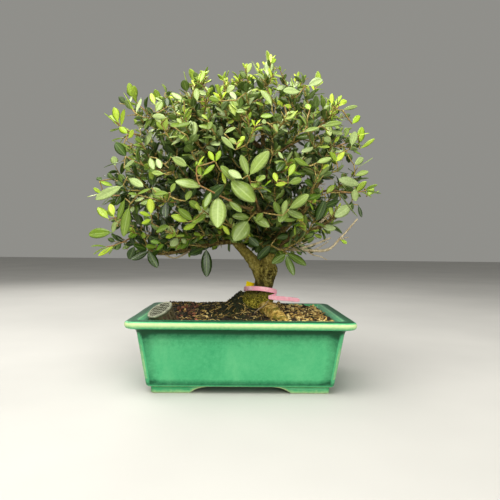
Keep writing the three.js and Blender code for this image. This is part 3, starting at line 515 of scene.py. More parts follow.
def makeGlaze():
    finish = Finish("seaGreenGlaze")
    flow = finish.clouds(22, 5, 0.6, finish.place((1, 1, 0.5)), 0.5)
    fine = finish.clouds(210, 4, 0.7)
    grain = finish.clouds(900, 3, 0.6)
    body = finish.ramp(
        flow, [(0.30, (0.042, 0.345, 0.140)), (0.5, (0.072, 0.415, 0.175)), (0.72, (0.118, 0.480, 0.212))]
    )
    body = finish.mix(finish.span(fine, 0.40, 0.75, 0, 0.35), body, (0.13, 0.52, 0.24))
    body = finish.mix(finish.span(grain, 0.35, 0.7, 0.16, 0.0), body, (0.010, 0.21, 0.09))
    thin = finish.mark("thin")
    ragged = finish.sum("ADD", thin, finish.span(fine, 0.3, 0.7, -0.1, 0.1))
    # Where the mark runs high the glaze breaks pale. On the lip's rounded front this pale and the cream
    # after it are also a painted highlight
    pale = finish.mix(finish.span(ragged, 0.30, 0.85), body, (0.47, 0.66, 0.30))
    pale = finish.mix(finish.span(ragged, 0.80, 1.10, 0, 0.75), pale, (0.64, 0.64, 0.36))
    # Where it runs low the glaze pools dark. The darkest step, in the cove under the lip, is also painted
    # shade, and on the ledge on top the darkening is also a painted dark reflection
    pooledGlazeAndPaintedShade = finish.mix(finish.span(ragged, -0.12, -0.95, 0, 0.94), pale, (0.003, 0.088, 0.034))
    pooledGlazeAndPaintedShade = finish.mix(finish.span(ragged, -0.8, -1.2, 0, 0.8), pooledGlazeAndPaintedShade, (0.003, 0.046, 0.014))
    waves = finish.bump(finish.clouds(26, 3, 0.5), 0.0010, 0.4)
    pits = finish.bump(fine, 0.00010, 0.4, waves)
    rough = finish.sum(
        "ADD", finish.span(fine, 0.3, 0.8, 0.12, 0.26), finish.span(thin, -0.55, -1.0, 0, 0.3)
    )
    return finish.set(color=pooledGlazeAndPaintedShade, rough=rough, normal=pits, coat=0.05, coatRough=0.1, shine=0.2)


makePot()

# The bed of bark, pumice and clay crumbs, mounded at the trunk and low at the right
soil = {
    "level": 73,
    "mound": 11,
    "moundMiddle": (15, 3),
    "moundSpread": 26,
    "shoulder": 13.5,
    "shoulderMiddle": (0.5, 1),
    "shoulderSpread": 16.5,
    "wallInset": 17.8,
    "spacing": 1.5,
    "chips": 1250,
    "pumice": 200,
    "clay": 38,
    "crumbs": 2000,
    "fibres": 330,
    "tufts": 3000,
    "floor": 16.2,
    "looseInset": 20.5,
    "trunkMiddle": (17, 1),
    "trunkRadius": 16,
}
basket = {
    "lidMiddle": (-84.4, -60, 84.6),
    "lean": (-0.39, -0.34, 0.85),
    "lidRadius": 13.9,
    "lidThickness": 1.6,
    "height": 20,
    "footRadius": 11.2,
    "mouthRadius": 13.2,
    "mouth": -1.1,
    "wall": 1.2,
    "slots": 18,
    "latticePitch": 3.55,
    "latticeHole": 2.7,
    "latticeReach": 11.3,
    "cakeRadius": 9,
    "cakeMiddle": -12,
    "cakeRise": 6.5,
}
basketMiddle = vec(*basket["lidMiddle"])
basketLean = unit(vec(*basket["lean"]))


def mossShoulder(x, y):
    # the mossy swell against the left of the flare, from 0 to 1
    middleX, middleY = soil["shoulderMiddle"]
    return math.exp(-((x - middleX) ** 2 + (y - middleY) ** 2) / soil["shoulderSpread"] ** 2)


def soilHeight(x, y):
    middleX, middleY = soil["moundMiddle"]
    away = (x - middleX) ** 2 + (y - middleY) ** 2
    mound = soil["mound"] * math.exp(-away / (2 * soil["moundSpread"] ** 2))
    mound += soil["shoulder"] * mossShoulder(x, y)
    backLeft = 5.5 / (1 + math.exp((x - 10 - y * 0.9) / 16)) / (1 + math.exp(-(y + 5) / 18))
    return soil["level"] + mound + backLeft + 0.9 * math.sin(x * 0.17 + 1) * math.cos(y * 0.21)


def mossCover(x, y):
    # moss lies thick left of the trunk and in front of it, and in patches elsewhere
    patch = 0.5 + 0.9 * roughness3((x, y, 40), 14)
    return min(
        1.0, max(mossShoulder(x, y) * 1.6, math.exp(-(((x + 8) / 36) ** 2)) * 0.9 * patch + 0.35 * patch)
    )


def inBasket(x, y):
    # how near a place on the bed is to the basket's axis, in cup radii
    drop = (x - basketMiddle[0]) ** 2 + (y - basketMiddle[1]) ** 2
    return math.sqrt(drop) / basket["mouthRadius"]


def makeSoilBed():
    halfX, halfY = pot["width"] / 2 - soil["wallInset"], pot["depth"] / 2 - soil["wallInset"]
    nx, ny = int(2 * halfX / soil["spacing"]), int(2 * halfY / soil["spacing"])
    top = []
    for j in range(ny + 1):
        for i in range(nx + 1):
            x, y = -halfX + 2 * halfX * i / nx, -halfY + 2 * halfY * j / ny
            z = soilHeight(x, y) + 1.3 * roughness3((x, y, 0), 7.5) + 0.5 * roughness3((x, y, 9), 2.4)
            if inBasket(x, y) < 0.9:
                z -= 9
            top.append((x, y, z - 0.5))
    top = np.array(top)
    heap = Heap(["moss"])
    rows, columns = ny + 1, nx + 1
    heap.add(top, [bandFaces(rows, columns, False)], moss=[mossCover(x, y) for x, y, _ in top])
    edge = [i for i in range(columns)] + [j * columns + nx for j in range(1, rows)]
    edge += [ny * columns + i for i in range(nx - 1, -1, -1)] + [j * columns for j in range(ny - 1, 0, -1)]
    rim = top[edge]
    foot = rim.copy()
    foot[:, 2] = soil["floor"]
    foot[:, :2] *= 0.9
    heap.add(np.concatenate([foot, rim]), [bandFaces(2, len(edge)), fanFaces(0, len(edge), True)])
    heap.piece("soilBed", [makeSoilFinish()], "soil", ["soil"])


def makeSoilFinish():
    finish = Finish("darkPottingMix")
    grain = finish.clouds(420, 6, 0.7)
    fine = finish.clouds(1100, 4, 0.7)
    tone = finish.ramp(
        grain, [(0.35, (0.007, 0.005, 0.002)), (0.52, (0.024, 0.015, 0.005)), (0.75, (0.15, 0.085, 0.025))]
    )
    green = finish.ramp(
        fine, [(0.34, (0.006, 0.009, 0.003)), (0.55, (0.022, 0.032, 0.008)), (0.75, (0.10, 0.11, 0.022))]
    )
    cover = finish.sum("ADD", finish.mark("moss"), finish.span(grain, 0.3, 0.7, -0.3, 0.3))
    tone = finish.mix(finish.span(cover, 0.35, 0.6), tone, green)
    return finish.set(color=tone, rough=0.92, normal=finish.bump(grain, 0.0012, 0.9))


def lumpTemplate():
    # an icosahedron's corners and faces
    t = (1 + math.sqrt(5)) / 2
    corners = [(-1, t, 0), (1, t, 0), (-1, -t, 0), (1, -t, 0), (0, -1, t), (0, 1, t)]
    corners += [(0, -1, -t), (0, 1, -t), (t, 0, -1), (t, 0, 1), (-t, 0, -1), (-t, 0, 1)]
    faces = [(0, 11, 5), (0, 5, 1), (0, 1, 7), (0, 7, 10), (0, 10, 11), (1, 5, 9), (5, 11, 4)]
    faces += [(11, 10, 2), (10, 7, 6), (7, 1, 8), (3, 9, 4), (3, 4, 2), (3, 2, 6), (3, 6, 8)]
    faces += [(3, 8, 9), (4, 9, 5), (2, 4, 11), (6, 2, 10), (8, 6, 7), (9, 8, 1)]
    return np.array(corners, float) / math.sqrt(1 + t * t), np.array(faces)


def scatterOnSoil(rng, count, keep=None):
    halfX, halfY = pot["width"] / 2 - soil["looseInset"], pot["depth"] / 2 - soil["looseInset"]
    trunkX, trunkY = soil["trunkMiddle"]
    places = []
    while len(places) < count:
        x, y = rng.uniform(-halfX, halfX), rng.uniform(-halfY, halfY)
        if inBasket(x, y) < 1.12 or math.hypot(x - trunkX, y - trunkY) < soil["trunkRadius"]:
            continue
        if keep and not keep(x, y):
            continue
        places.append((x, y))
    return places


# kinds of bits in the mix, as a mark on each
bits = {"dark": 0.0, "bark": 0.2, "pumice": 0.4, "clay": 0.6, "moss": 0.8, "fibre": 1.0}


def makeSoilCrumbs():
    rng = np.random.default_rng(41)
    corners, faces = lumpTemplate()
    heap = Heap(["kind", "tone"])

    def addLump(x, y, size, flat, long, kind, lift, tone=None):
        turn, _ = np.linalg.qr(rng.normal(size=(3, 3)))
        if kind == "bark":
            # a chip lies nearly flat
            yaw = rng.uniform(0, 2 * math.pi)
            a, b = vec(math.cos(yaw), math.sin(yaw), 0), vec(-math.sin(yaw), math.cos(yaw), 0)
            c = unit(up + a * rng.normal(0, 0.5) + b * rng.normal(0, 0.35))
            a = unit(a - c * float(a @ c))
            turn = np.stack([a, np.cross(c, a), c])
        lumpy = corners * (1 + rng.uniform(-0.25, 0.25, (12, 1)))
        shape = (lumpy * np.array([long, 1, flat]) * size) @ turn
        place = vec(x, y, soilHeight(x, y) + size * lift)
        heap.add(shape + place, [faces], kind=bits[kind], tone=rng.uniform() if tone is None else tone)

    def barer(x, y):
        return mossShoulder(x, y) < 0.25 and rng.uniform() > 0.75 * mossCover(x, y)

    def pumiceLies(x, y):
        # mostly at the right
        return barer(x, y) and rng.uniform() < (1.0 if x > 30 else 0.1)

    def clayLies(x, y):
        # a patch at the left
        return y < 50 and rng.uniform() < math.exp(-(((x + 59) / 10) ** 2))

    def fibreLies(x, y):
        return mossShoulder(x, y) < 0.6 and rng.uniform() < 0.35 + mossCover(x, y)

    for x, y in scatterOnSoil(rng, soil["crumbs"]):
        kind = "moss" if rng.uniform() < mossCover(x, y) else "dark"
        addLump(x, y, rng.uniform(0.5, 1.5), 0.8, 1.2, kind, 0.3)
    for x, y in scatterOnSoil(rng, soil["chips"], barer):
        right = min(max((x - 22) / 45 + 0.5 * roughness3((x, y, 7), 18), 0), 1)
        bright = rng.uniform() < 0.05 + 0.48 * right
        tone = rng.uniform(0.74, 1) if bright else rng.uniform(0, 0.5 + 0.2 * right)
        size = rng.uniform(0.7, 1.9) * (1 + 0.55 * right)
        addLump(x, y, size, 0.35, rng.uniform(1.2, 2.2), "bark", 0.35, tone)
    for x, y in scatterOnSoil(rng, soil["pumice"], pumiceLies):
        addLump(x, y, rng.uniform(0.8, 1.9) * (1.2 if x > 30 else 1), 0.8, 1.25, "pumice", 0.5)
    for x, y in scatterOnSoil(rng, soil["clay"], clayLies):
        addLump(x, y, rng.uniform(1.4, 2.9), 0.8, 1.15, "clay", 0.55)
    # golden fibres of old moss and bark, lying across the bed
    for x, y in scatterOnSoil(rng, soil["fibres"], fibreLies):
        yaw, bend, length = rng.uniform(0, 6.28), rng.normal(0, 0.12), rng.uniform(3, 11)
        path = []
        for k in range(5):
            yaw += bend
            x, y = x + math.cos(yaw) * length / 4, y + math.sin(yaw) * length / 4
            inside = abs(x) < pot["width"] / 2 - 21 and abs(y) < pot["depth"] / 2 - 21
            if inside:
                lift = 0.9 + 1.3 * math.sin(math.pi * k / 4) * abs(roughness3((x, y, 3), 5) + 0.4)
                path.append(vec(x, y, soilHeight(x, y) + lift))
        if len(path) > 2:
            shape, sides = tube(path, taper(rng.uniform(0.26, 0.5), 0.18, len(path)), 4)
            heap.add(shape, sides, kind=bits["fibre"], tone=rng.uniform())
    # tufts of short moss blades
    for x, y in scatterOnSoil(rng, soil["tufts"], lambda x, y: rng.uniform() < mossCover(x, y) ** 1.5):
        addTuft(heap, rng, vec(x, y, soilHeight(x, y) + 0.2), up, rng.uniform(0.9, 2.4))
    finish = Finish("crumbsOfTheMix")
    kind, tone = finish.mark("kind"), finish.mark("tone")
    tones = {
        "dark": [(0, (0.005, 0.004, 0.002)), (0.6, (0.016, 0.011, 0.004)), (1, (0.06, 0.038, 0.011))],
        "bark": [
            (0, (0.010, 0.006, 0.002)), (0.45, (0.054, 0.028, 0.007)), (0.75, (0.29, 0.155, 0.030)),
            (1, (0.80, 0.55, 0.15))
        ],
        "pumice": [(0, (0.58, 0.38, 0.09)), (1, (0.95, 0.78, 0.32))],
        "clay": [(0, (0.045, 0.020, 0.010)), (0.6, (0.20, 0.070, 0.028)), (1, (0.42, 0.155, 0.075))],
        "moss": [(0, (0.005, 0.009, 0.003)), (0.7, (0.024, 0.032, 0.006)), (1, (0.12, 0.120, 0.018))],
        "fibre": [(0, (0.22, 0.130, 0.026)), (0.6, (0.60, 0.40, 0.090)), (1, (0.86, 0.66, 0.25))],
    }
    color = None
    for name, stops in tones.items():
        own = finish.ramp(tone, stops)
        color = (
            finish.mix(finish.span(kind, bits[name] - 0.11, bits[name] - 0.09), color, own) if color
            else own
        )
    grain = finish.clouds(900, 4)
    color = finish.mix(finish.span(grain, 0.3, 0.7, 0.0, 0.35), color, (0.02, 0.014, 0.008))
    material = finish.set(color=color, rough=0.85, normal=finish.bump(grain, 0.0006, 0.8))
    heap.piece("soilCrumbs", [material], "soil", smooth=False)


def addTuft(heap, rng, spot, normal, height):
    # a few flat pointed blades from one foot
    for _ in range(4):
        lean = unit(normal + rng.normal(0, 0.55, 3))
        side = unit(np.cross(lean, rng.normal(size=3))) * rng.uniform(0.2, 0.38)
        foot = spot + rng.normal(0, 0.5, 3) * (1 - np.abs(normal))
        tall = height * rng.uniform(0.6, 1.2)
        tip = foot + lean * tall
        points = [foot - side, foot + side, tip + side * 0.3, tip - side * 0.3]
        heap.add(points, [np.array([[0, 1, 2, 3]])], kind=bits["moss"], tone=rng.uniform() ** 1.3)


makeSoilBed()
makeSoilCrumbs()
print("pot and soil made")

# The tree's wood: limbs, branches, bare twigs and buried roots, each as its points, first radius and
# last radius
tree = {
    "limbs": {
        "leftLimb": (
            [(24, 0, 118), (15.5, -1, 133.5), (6.3, -1, 144.8), (-2, 0, 154.5), (-13, 2, 164)], 6.6, 3.9
        ),
        "rightLimb": ([(28, 0, 122), (30.5, 0, 135), (32.5, 1, 147), (34, 3, 160)], 10.2, 6.6),
    },
    "branches": {
        "lowLeft": (
            [
                (-4, -1, 157), (-22, -8, 156), (-42, -18, 152), (-64, -22, 146.5), (-86, -24, 142.5),
                (-106, -24, 144)
            ],
            2.9, 1.4,
        ),
        "leftMiddle": ([(-11, 2, 162), (-42, -8, 170), (-76, -14, 184), (-104, -14, 200)], 2.9, 1.5),
        "leftUp": ([(-12, 2, 163), (-36, 4, 183), (-66, 4, 209), (-94, -2, 236)], 3.6, 1.6),
        "leftBack": ([(-10, 3, 161), (-32, 28, 176), (-58, 54, 196), (-72, 66, 220)], 3, 1.5),
        "leftFront": ([(-9, 0, 161), (-26, -30, 178), (-48, -56, 198), (-58, -66, 222)], 3, 1.5),
        "crownLeft": (
            [(-12, 2, 163), (-22, 6, 196), (-38, 10, 236), (-50, 8, 274), (-52, 4, 300)], 3.5, 1.4
        ),
        "leader": ([(34, 3, 156), (38, 6, 190), (32, 4, 228), (24, 0, 266), (22, 0, 304)], 5.6, 1.5),
        "crownBack": ([(34, 4, 160), (20, 34, 190), (6, 58, 224), (2, 66, 256)], 3.3, 1.4),
        "crownFront": ([(34, 2, 158), (24, -28, 182), (12, -56, 202), (4, -68, 230)], 3.3, 1.4),
        "rightUp": ([(34, 3, 158), (58, 6, 184), (82, 4, 214), (98, -2, 246)], 3.7, 1.5),
        "rightLow": ([(34, 2, 154), (58, -6, 163), (88, -14, 175), (110, -16, 190)], 3, 1.4),
        "rightBack": ([(35, 5, 157), (54, 34, 178), (74, 56, 200), (84, 66, 226)], 3, 1.4),
        "rightFront": ([(35, 0, 157), (52, -34, 176), (70, -56, 196), (80, -64, 222)], 3, 1.4),
    },
    "bareTwigs": [
        ([(36, -1, 150), (63, -30, 148.5), (92, -40, 148.8), (107, -40, 162), (126, -36, 183)], 1.7, 0.6),
        ([(60, -27, 148.8), (78, -38, 154.5), (96, -42, 162)], 1.2, 0.6),
        ([(-52, -20, 149.4), (-72, -28, 138.5), (-84, -30, 141)], 0.9, 0.6),
    ],
    "roots": [
        ([(14, 4, 78), (-8, 10, 68), (-34, 14, 52), (-52, 12, 36)], 7, 2.2),
        ([(20, 6, 76), (34, 22, 66), (50, 40, 48), (56, 48, 34)], 6.5, 2.2),
        ([(16, -4, 76), (4, -22, 62), (-14, -38, 46), (-22, -44, 34)], 6, 2.2),
        ([(22, 2, 74), (46, 4, 62), (70, 6, 46), (80, 6, 36)], 6, 2.2),
    ],
}


def curvePoint(points, share):
    # a smooth curve through all its points
    last = len(points) - 1
    spot = last * share
    i = int(math.floor(spot))
    weight = spot - i
    if weight == 0 and i == last:
        i, weight = last - 1, 1.0
    p1, p2 = points[i], points[i + 1]
    p0 = points[i - 1] if i > 0 else 2 * points[0] - points[1]
    p3 = points[i + 2] if i + 2 <= last else 2 * points[last] - points[last - 1]
    t0, t1 = 0.5 * (p2 - p0), 0.5 * (p3 - p1)
    c2, c3 = -3 * p1 + 3 * p2 - 2 * t0 - t1, 2 * p1 - 2 * p2 + t0 + t1
    return p1 + t0 * weight + c2 * weight * weight + c3 * weight**3


def alongCurve(points, steps):
    points = [vec(*p) for p in points]
    return [curvePoint(points, k / steps) for k in range(steps + 1)]


def bentPoint(start, through, end, t):
    return (1 - t) * (1 - t) * start + 2 * (1 - t) * t * through + t * t * end


def bent(start, through, end, steps):
    return [bentPoint(start, through, end, k / steps) for k in range(steps + 1)]


# The crown: where its sprays of leaves stand, and how they branch and carry their leaves
crown = {
    "middle": (-11, 0, 235),
    "reach": [155, 160, 134, 123, 118, 152, 148, 170, 112, 88, 102, 146],
    "depthReach": 130,
    # the outline in the front view, every 10 degrees from the right, in pixels from its middle:
    # measured on the photo, and set along the underside
    "outline": [
        133.5, 134, 146, 142, 125, 127.5, 116.5, 125.5, 114.5, 108, 100.5, 109.5,
        98, 107, 119.5, 138, 121, 120.5, 126, 139, 144.5, 150, 133.5, 122.5,
        93.5, 84, 77, 74, 76, 88, 104, 112, 113.5, 126, 120, 137,
    ],
    "millimetresPerPixel": 1.13,
    "leafLength": 19,
    "leafWidthShare": 0.56,
    "youngLeafLength": 15.5,
    "sprayLength": 58,
    "shootLength": 30,
    "leavesPerSpray": 10,
    "leavesPerShoot": 5,
    "matureSprays": 37,
    "lowestTilt": -0.62,
    "leafStandOut": 14,
    "youngStandOut": 10,
    "shootClearance": 34,
    "placedClearance": 38,
    "shootTips": [
        (-155, -10, 296), (-133, -15, 324), (-103, -10, 322), (-60, 0, 350), (32, 0, 374), (92, 0, 346),
        (118, -10, 319), (140, -20, 281), (147, -30, 214), (-163, -38, 205), (-158, -30, 144),
        (50, -106, 228), (-82, -96, 191), (38, 118, 292), (-62, 118, 254), (102, 92, 256), (-118, 76, 262),
    ],
    # stem from and to, side twigs, then leaves as foot, tip and width
    "placed": [
        ([(-5, -94, 192), (-40, -111, 208)], [], [
            ((-23, -103, 200.5), (-23.8, -114, 169.5), 16.8),
            ((-37, -109.5, 206.6), (-63, -111, 213.5), 11.5),
            ((-13, -98, 196), (-2, -112, 184), 8), ((-30, -106, 203.5), (-34, -114, 188), 7),
        ]),
        ([(14, -84, 196), (5, -106, 219)], [((9.5, -95, 207.5), (-14, -107, 216))], [
            ((5, -106, 219), (23.5, -110, 242), 13), ((-13.4, -106.8, 215.8), (10.6, -114, 193.5), 19),
            ((-6, -103, 213), (-21, -112, 226), 10), ((5, -106, 219), (-2, -108, 238), 9),
        ]),
        ([(14, -62, 188), (6, -86, 177.5)], [], [
            ((6, -86, 177.5), (-7, -93, 157), 17.5), ((10, -75, 183), (27, -84, 172), 11),
            ((8, -80, 180), (-10, -84, 182), 9),
        ]),
        ([(40, -72, 190), (45, -92, 188)], [], [
            ((45, -92, 188), (64, -97, 202.5), 11.5), ((44, -87, 188.5), (36, -98, 176), 10),
            ((42.5, -82, 189), (60, -90, 181), 10),
        ]),
        ([(44, -14, 151), (49, -37, 144)], [], [
            ((49, -37, 144), (34, -44, 133), 10), ((49, -37, 144), (53, -46, 121), 9),
            ((47.5, -30, 146), (71, -40, 134), 10),
        ]),
        ([(-44, -22, 150), (-38, -44, 150.5)], [], [
            ((-38, -44, 150.5), (-36.5, -49, 119), 12), ((-40.5, -35, 150.3), (-56, -44, 142), 9),
        ]),
        ([(-98, -26, 145), (-100, -47, 147)], [], [
            ((-100, -47, 147), (-90, -54, 128), 10), ((-99.4, -41, 146.4), (-117, -48, 136), 9),
            ((-99.8, -45, 146.8), (-112, -60, 152), 9),
        ]),
    ],
}
growth = {
    "seatGap": 0.3,
    "youngStemRadius": 0.95,
    "oldStemRadius": 1.15,
    "stemTipRadius": 0.6,
    "twigRadii": [0.75, 0.55],
    "bendCost": 28,
    "arrivalCost": 22,
    "shorteningCost": 60,
    "margin": 1.2,
    "youngTwigLength": 12,
    "oldTwigLength": 25,
    "leafSink": 1.5,
    "leafSpacing": 4,
    "ownLeafSpacing": 2.4,
    "stemMargin": 2.1,
    "petioleHalf": 0.5,
    "jointSteps": 16,
}
crownMiddle = vec(*crown["middle"])
shootTips = [vec(*tip) for tip in crown["shootTips"]]


def seededShares(seed):
    # the same even shares from 0 to 1 on every machine
    kept = [seed & 0xFFFFFFFF]

    def share():
        kept[0] = (kept[0] + 0x6D2B79F5) & 0xFFFFFFFF
        t = kept[0]
        t = ((t ^ (t >> 15)) * (t | 1)) & 0xFFFFFFFF
        t ^= (t + (((t ^ (t >> 7)) * (t | 61)) & 0xFFFFFFFF)) & 0xFFFFFFFF
        return (t ^ (t >> 14)) / 4294967296

    return share


def crownRadius(heading):
    angle = (math.atan2(heading[2], heading[0]) / (2 * math.pi) + 1) % 1
    reach = crown["reach"]
    spot = angle * len(reach)
    lower = int(math.floor(spot)) % len(reach)
    ease = (1 - math.cos((spot - math.floor(spot)) * math.pi)) / 2
    flatReach = reach[lower] + (reach[(lower + 1) % len(reach)] - reach[lower]) * ease
    flat = heading[0] ** 2 + heading[2] ** 2
    return 1 / math.sqrt(flat / flatReach**2 + heading[1] ** 2 / crown["depthReach"] ** 2)


def outlineReach(x, z):
    # how far the seen outline lies from the crown's middle, this way
    outline = crown["outline"]
    spot = (math.degrees(math.atan2(z, x)) % 360) / 10
    lower = int(spot) % 36
    flatReach = outline[lower] + (outline[(lower + 1) % 36] - outline[lower]) * (spot - int(spot))
    return flatReach * crown["millimetresPerPixel"]


# What already stands in the crown: stretches of wood or stem, and leaves
class Standing:
    def __init__(self):
        self.a, self.b, self.radius, self.owner, self.isWood = [], [], [], [], []
        self.ready = -1

    def add(self, points, radii, owner, isWood):
        for i in range(len(points) - 1):
            self.a.append(points[i])
            self.b.append(points[i + 1])
            self.radius.append(max(radii[i], radii[i + 1]))
            self.owner.append(owner)
            self.isWood.append(isWood)

    def arrays(self):
        if self.ready != len(self.a):
            self.ready = len(self.a)
            self.start, self.run = np.array(self.a), np.array(self.b) - np.array(self.a)
            self.square = np.einsum("ij,ij->i", self.run, self.run)
            self.radii, self.owners = np.array(self.radius), np.array(self.owner)
            self.woods = np.array(self.isWood)

    def clear(self, points, radius, margin, counts=None):
        # counts picks the stretches that matter
        self.arrays()
        chosen = np.ones(len(self.a), bool) if counts is None else counts(self)
        start, run, square = self.start[chosen], self.run[chosen], self.square[chosen]
        points = np.asarray(points, float).reshape(-1, 3)
        away = points[:, None] - start[None]
        share = np.clip(np.einsum("pij,ij->pi", away, run) / square, 0, 1)
        gap = away - run[None] * share[..., None]
        distance = np.sqrt(np.einsum("pij,pij->pi", gap, gap))
        return bool((distance >= self.radii[chosen] + radius + margin).all())


standing = Standing()
standingLeaves = []


def leafPoint(leaf, along, across):
    drop = -leaf["arch"] * leaf["length"] * along * along
    reach = leaf["heading"] * (leaf["length"] * along)
    return leaf["foot"] + reach + leaf["side"] * across + leaf["face"] * drop


def leafAt(foot, heading, facing, length, width, arch):
    face = facing - heading * float(facing @ heading)
    if float(face @ face) < 0.01:
        face = np.cross(heading, vec(1, 0.3, 0.2))
    face = unit(face)
    leaf = {"foot": foot, "heading": heading, "face": face, "side": np.cross(heading, face)}
    leaf |= {"length": length, "width": width, "arch": arch}
    samples = []
    for along in (0.3, 0.48, 0.66, 0.83, 1):
        half = 0 if along == 1 else 0.48 * width * math.sin(math.pi * along**0.9) ** 0.6
        for share in (0,) if along == 1 else (-1, -0.5, 0, 0.5, 1):
            samples.append(leafPoint(leaf, along, half * share))
    leaf["samples"] = np.array(samples)
    leaf["middle"] = leafPoint(leaf, 0.6, 0)
    return leaf


def ontoStem(spray, place):
    # the nearest place on a spray's stems, a little way in from their ends
    best = None
    for stem in spray["stems"]:
        points = stem["points"]
        for i in range(len(points) - 1):
            run = points[i + 1] - points[i]
            length = math.sqrt(float(run @ run))
            first = growth["leafSink"] if i == 0 else 0
            last = length - growth["leafSink"] if i + 2 == len(points) else length
            along = float((place - points[i]) @ run) / length
            spot = points[i] + run * (min(max(along, first), last) / length)
            gap = math.sqrt(float((spot - place) @ (spot - place)))
            if best is None or gap < best[0]:
                best = (gap, spot)
    return best[1]


def leafFits(leaf, owner, ownBranch):
    for other in standingLeaves:
        need = growth["ownLeafSpacing"] if other["owner"] == owner else growth["leafSpacing"]
        apart = leaf["middle"] - other["middle"]
        if math.sqrt(float(apart @ apart)) > (leaf["length"] + other["length"]) * 0.6 + need:
            continue
        gaps = leaf["samples"][:, None] - other["samples"][None]
        if (np.einsum("ijk,ijk->ij", gaps, gaps) < need * need).any():
            return False
    if not standing.clear(leaf["samples"], 0, growth["stemMargin"], lambda s: s.owners != owner):
        return False
    strangers = lambda s: (s.owners != owner) & (s.owners != ownBranch)
    return standing.clear(leafPoint(leaf, 0.15, 0), growth["petioleHalf"], 0.9, strangers)


def planSprays():
    sprays = []

    def plan(kind, tip, length):
        outward = unit(tip - crownMiddle)
        sprays.append(
            {
                "kind": kind, "tip": tip, "length": length, "outward": outward,
                "start": unit(outward - up * 0.1)
            }
        )

    for leafTip in shootTips:
        plan("shoot", leafTip - unit(leafTip - crownMiddle) * crown["youngStandOut"], crown["shootLength"])
    for i in range(crown["matureSprays"]):
        z = 1 - (2 * (i + 0.5)) / crown["matureSprays"]
        if z < crown["lowestTilt"]:
            continue
        turn = i * goldenAngle + 0.6
        flat = math.sqrt(1 - z * z)
        heading = vec(flat * math.cos(turn), flat * math.sin(turn), z)
        tip = crownMiddle + heading * (crownRadius(heading) - crown["leafStandOut"])
        nearShoot = any(np.linalg.norm(other - tip) < crown["shootClearance"] for other in shootTips)
        inFront = any(
            np.linalg.norm(vec(*stem[1]) - tip) < crown["placedClearance"] for stem, _, _ in crown["placed"]
        )
        if not nearShoot and not inFront:
            plan("spray", tip, crown["sprayLength"])
    for stem, twigs, leaves in crown["placed"]:
        foot, tip = vec(*stem[0]), vec(*stem[1])
        start = unit(tip - foot)
        sprays.append(
            {
                "kind": "placed", "foot": foot, "tip": tip, "outward": start, "start": start,
                "twigs": twigs, "laid": leaves
            }
        )
    sprays.append({
        "kind": "shoot",
        "foot": vec(*crown["placed"][0][0][1]) + vec(-0.3, -0.1, 0.5),
        "tip": vec(-43, -113, 226),
        "outward": unit(vec(-0.2, -0.5, 0.84)),
        "start": unit(vec(-0.5, -0.2, 0.85)),
        "onSpray": True,
    })
    return sprays


joints = []


def growMainWood():
    for points, first, last in tree["limbs"].values():
        path = alongCurve(points, len(points) + 1)
        standing.add(path, taper(first, last, len(path)), "wood", True)
    for points, first, last in tree["branches"].values():
        path = alongCurve(points, len(points))
        standing.add(path, taper(first, last, len(path)), "wood", True)
        fine = alongCurve(points, growth["jointSteps"])
        for i in range(5, len(fine)):
            radius = first + ((last - first) * i) / growth["jointSteps"]
            joints.append((fine[i], unit(fine[i] - fine[i - 1]), radius))
    for points, first, last in tree["bareTwigs"]:
        path = alongCurve(points, len(points) + 1)
        standing.add(path, taper(first, last, len(path)), "bare", True)


def pointsBetween(path, start, end, count):
    runs = [
        math.sqrt(float((path[i + 1] - path[i]) @ (path[i + 1] - path[i]))) for i in range(len(path) - 1)
    ]
    ends = np.cumsum(runs)
    places = []
    for share in taper(start, end, count):
        along = share * ends[-1]
        i = min(int(np.searchsorted(ends, along)), len(runs) - 1)
        u = 1 - (ends[i] - along) / runs[i]
        places.append(path[i] + (path[i + 1] - path[i]) * u)
    return places


def growBranch(spray, number):
    # its branch leaves a main branch that already heads its way, and its stem goes on from there
    spray["name"], spray["branch"] = f"stem{number}", f"branch{number}"
    young = spray["kind"] == "shoot"
    thick = growth["youngStemRadius"] if young else growth["oldStemRadius"]
    places, headings = np.array([j[0] for j in joints]), np.array([j[1] for j in joints])
    tries = []
    for share in (1,) if "foot" in spray else (1, 0.86, 0.72, 0.58):
        if "foot" in spray:
            branchEnd = spray["foot"]
        else:
            lean = unit(spray["outward"] + up * 0.35)
            back = spray["outward"] * 0.55 + lean * 0.45
            branchEnd = spray["tip"] - back * (spray["length"] * share)
        foot = branchEnd + spray["start"] * growth["seatGap"]
        through = foot + spray["start"] * (np.linalg.norm(foot - spray["tip"]) * 0.5)
        main = bent(foot, through, spray["tip"], 3)
        run = branchEnd - places
        distance = np.sqrt(np.einsum("ij,ij->i", run, run))
        run = run / distance[:, None]
        bend = 1 - np.einsum("ij,ij->i", run, headings)
        arrival = 1 - run @ spray["start"]
        turnCost = growth["bendCost"] * bend + growth["arrivalCost"] * arrival
        score = distance + turnCost + growth["shorteningCost"] * (1 - share)
        tries += [(score[i], i, branchEnd, foot, through, main, distance[i]) for i in range(len(joints))]
    tries.sort(key=lambda plan: plan[0])
    found = None
    for plan in tries:
        _, i, branchEnd, foot, through, main, distance = plan
        back = spray["start"] * (-0.45 * distance)
        branch = bent(joints[i][0], branchEnd + back, branchEnd, 2)
        radii = taper(min(joints[i][2] * 0.8, 2), thick, 3)
        fits = spray.get("onSpray") or (
            standing.clear(pointsBetween(main, 0.06, 1, 12), thick, growth["margin"])
            and standing.clear(pointsBetween(branch, 0, 1, 12), 1.6, growth["margin"], lambda s: ~s.woods)
        )
        if fits or found is None:
            found = (plan, branch, radii, i)
        if fits:
            break
    (_, _, branchEnd, foot, through, main, distance), branch, radii, i = found
    if not spray.get("onSpray"):
        spray["branchLine"] = (
            joints[i][0], branchEnd + spray["start"] * (-0.45 * distance), branchEnd, radii
        )
        standing.add(branch, radii, spray["branch"], True)
    spray["foot"], spray["through"] = foot, through
    mainRadii = taper(thick, growth["stemTipRadius"], len(main))
    spray["stems"] = [{"points": main, "radii": mainRadii, "main": True}]
    standing.add(main, mainRadii, spray["name"], False)


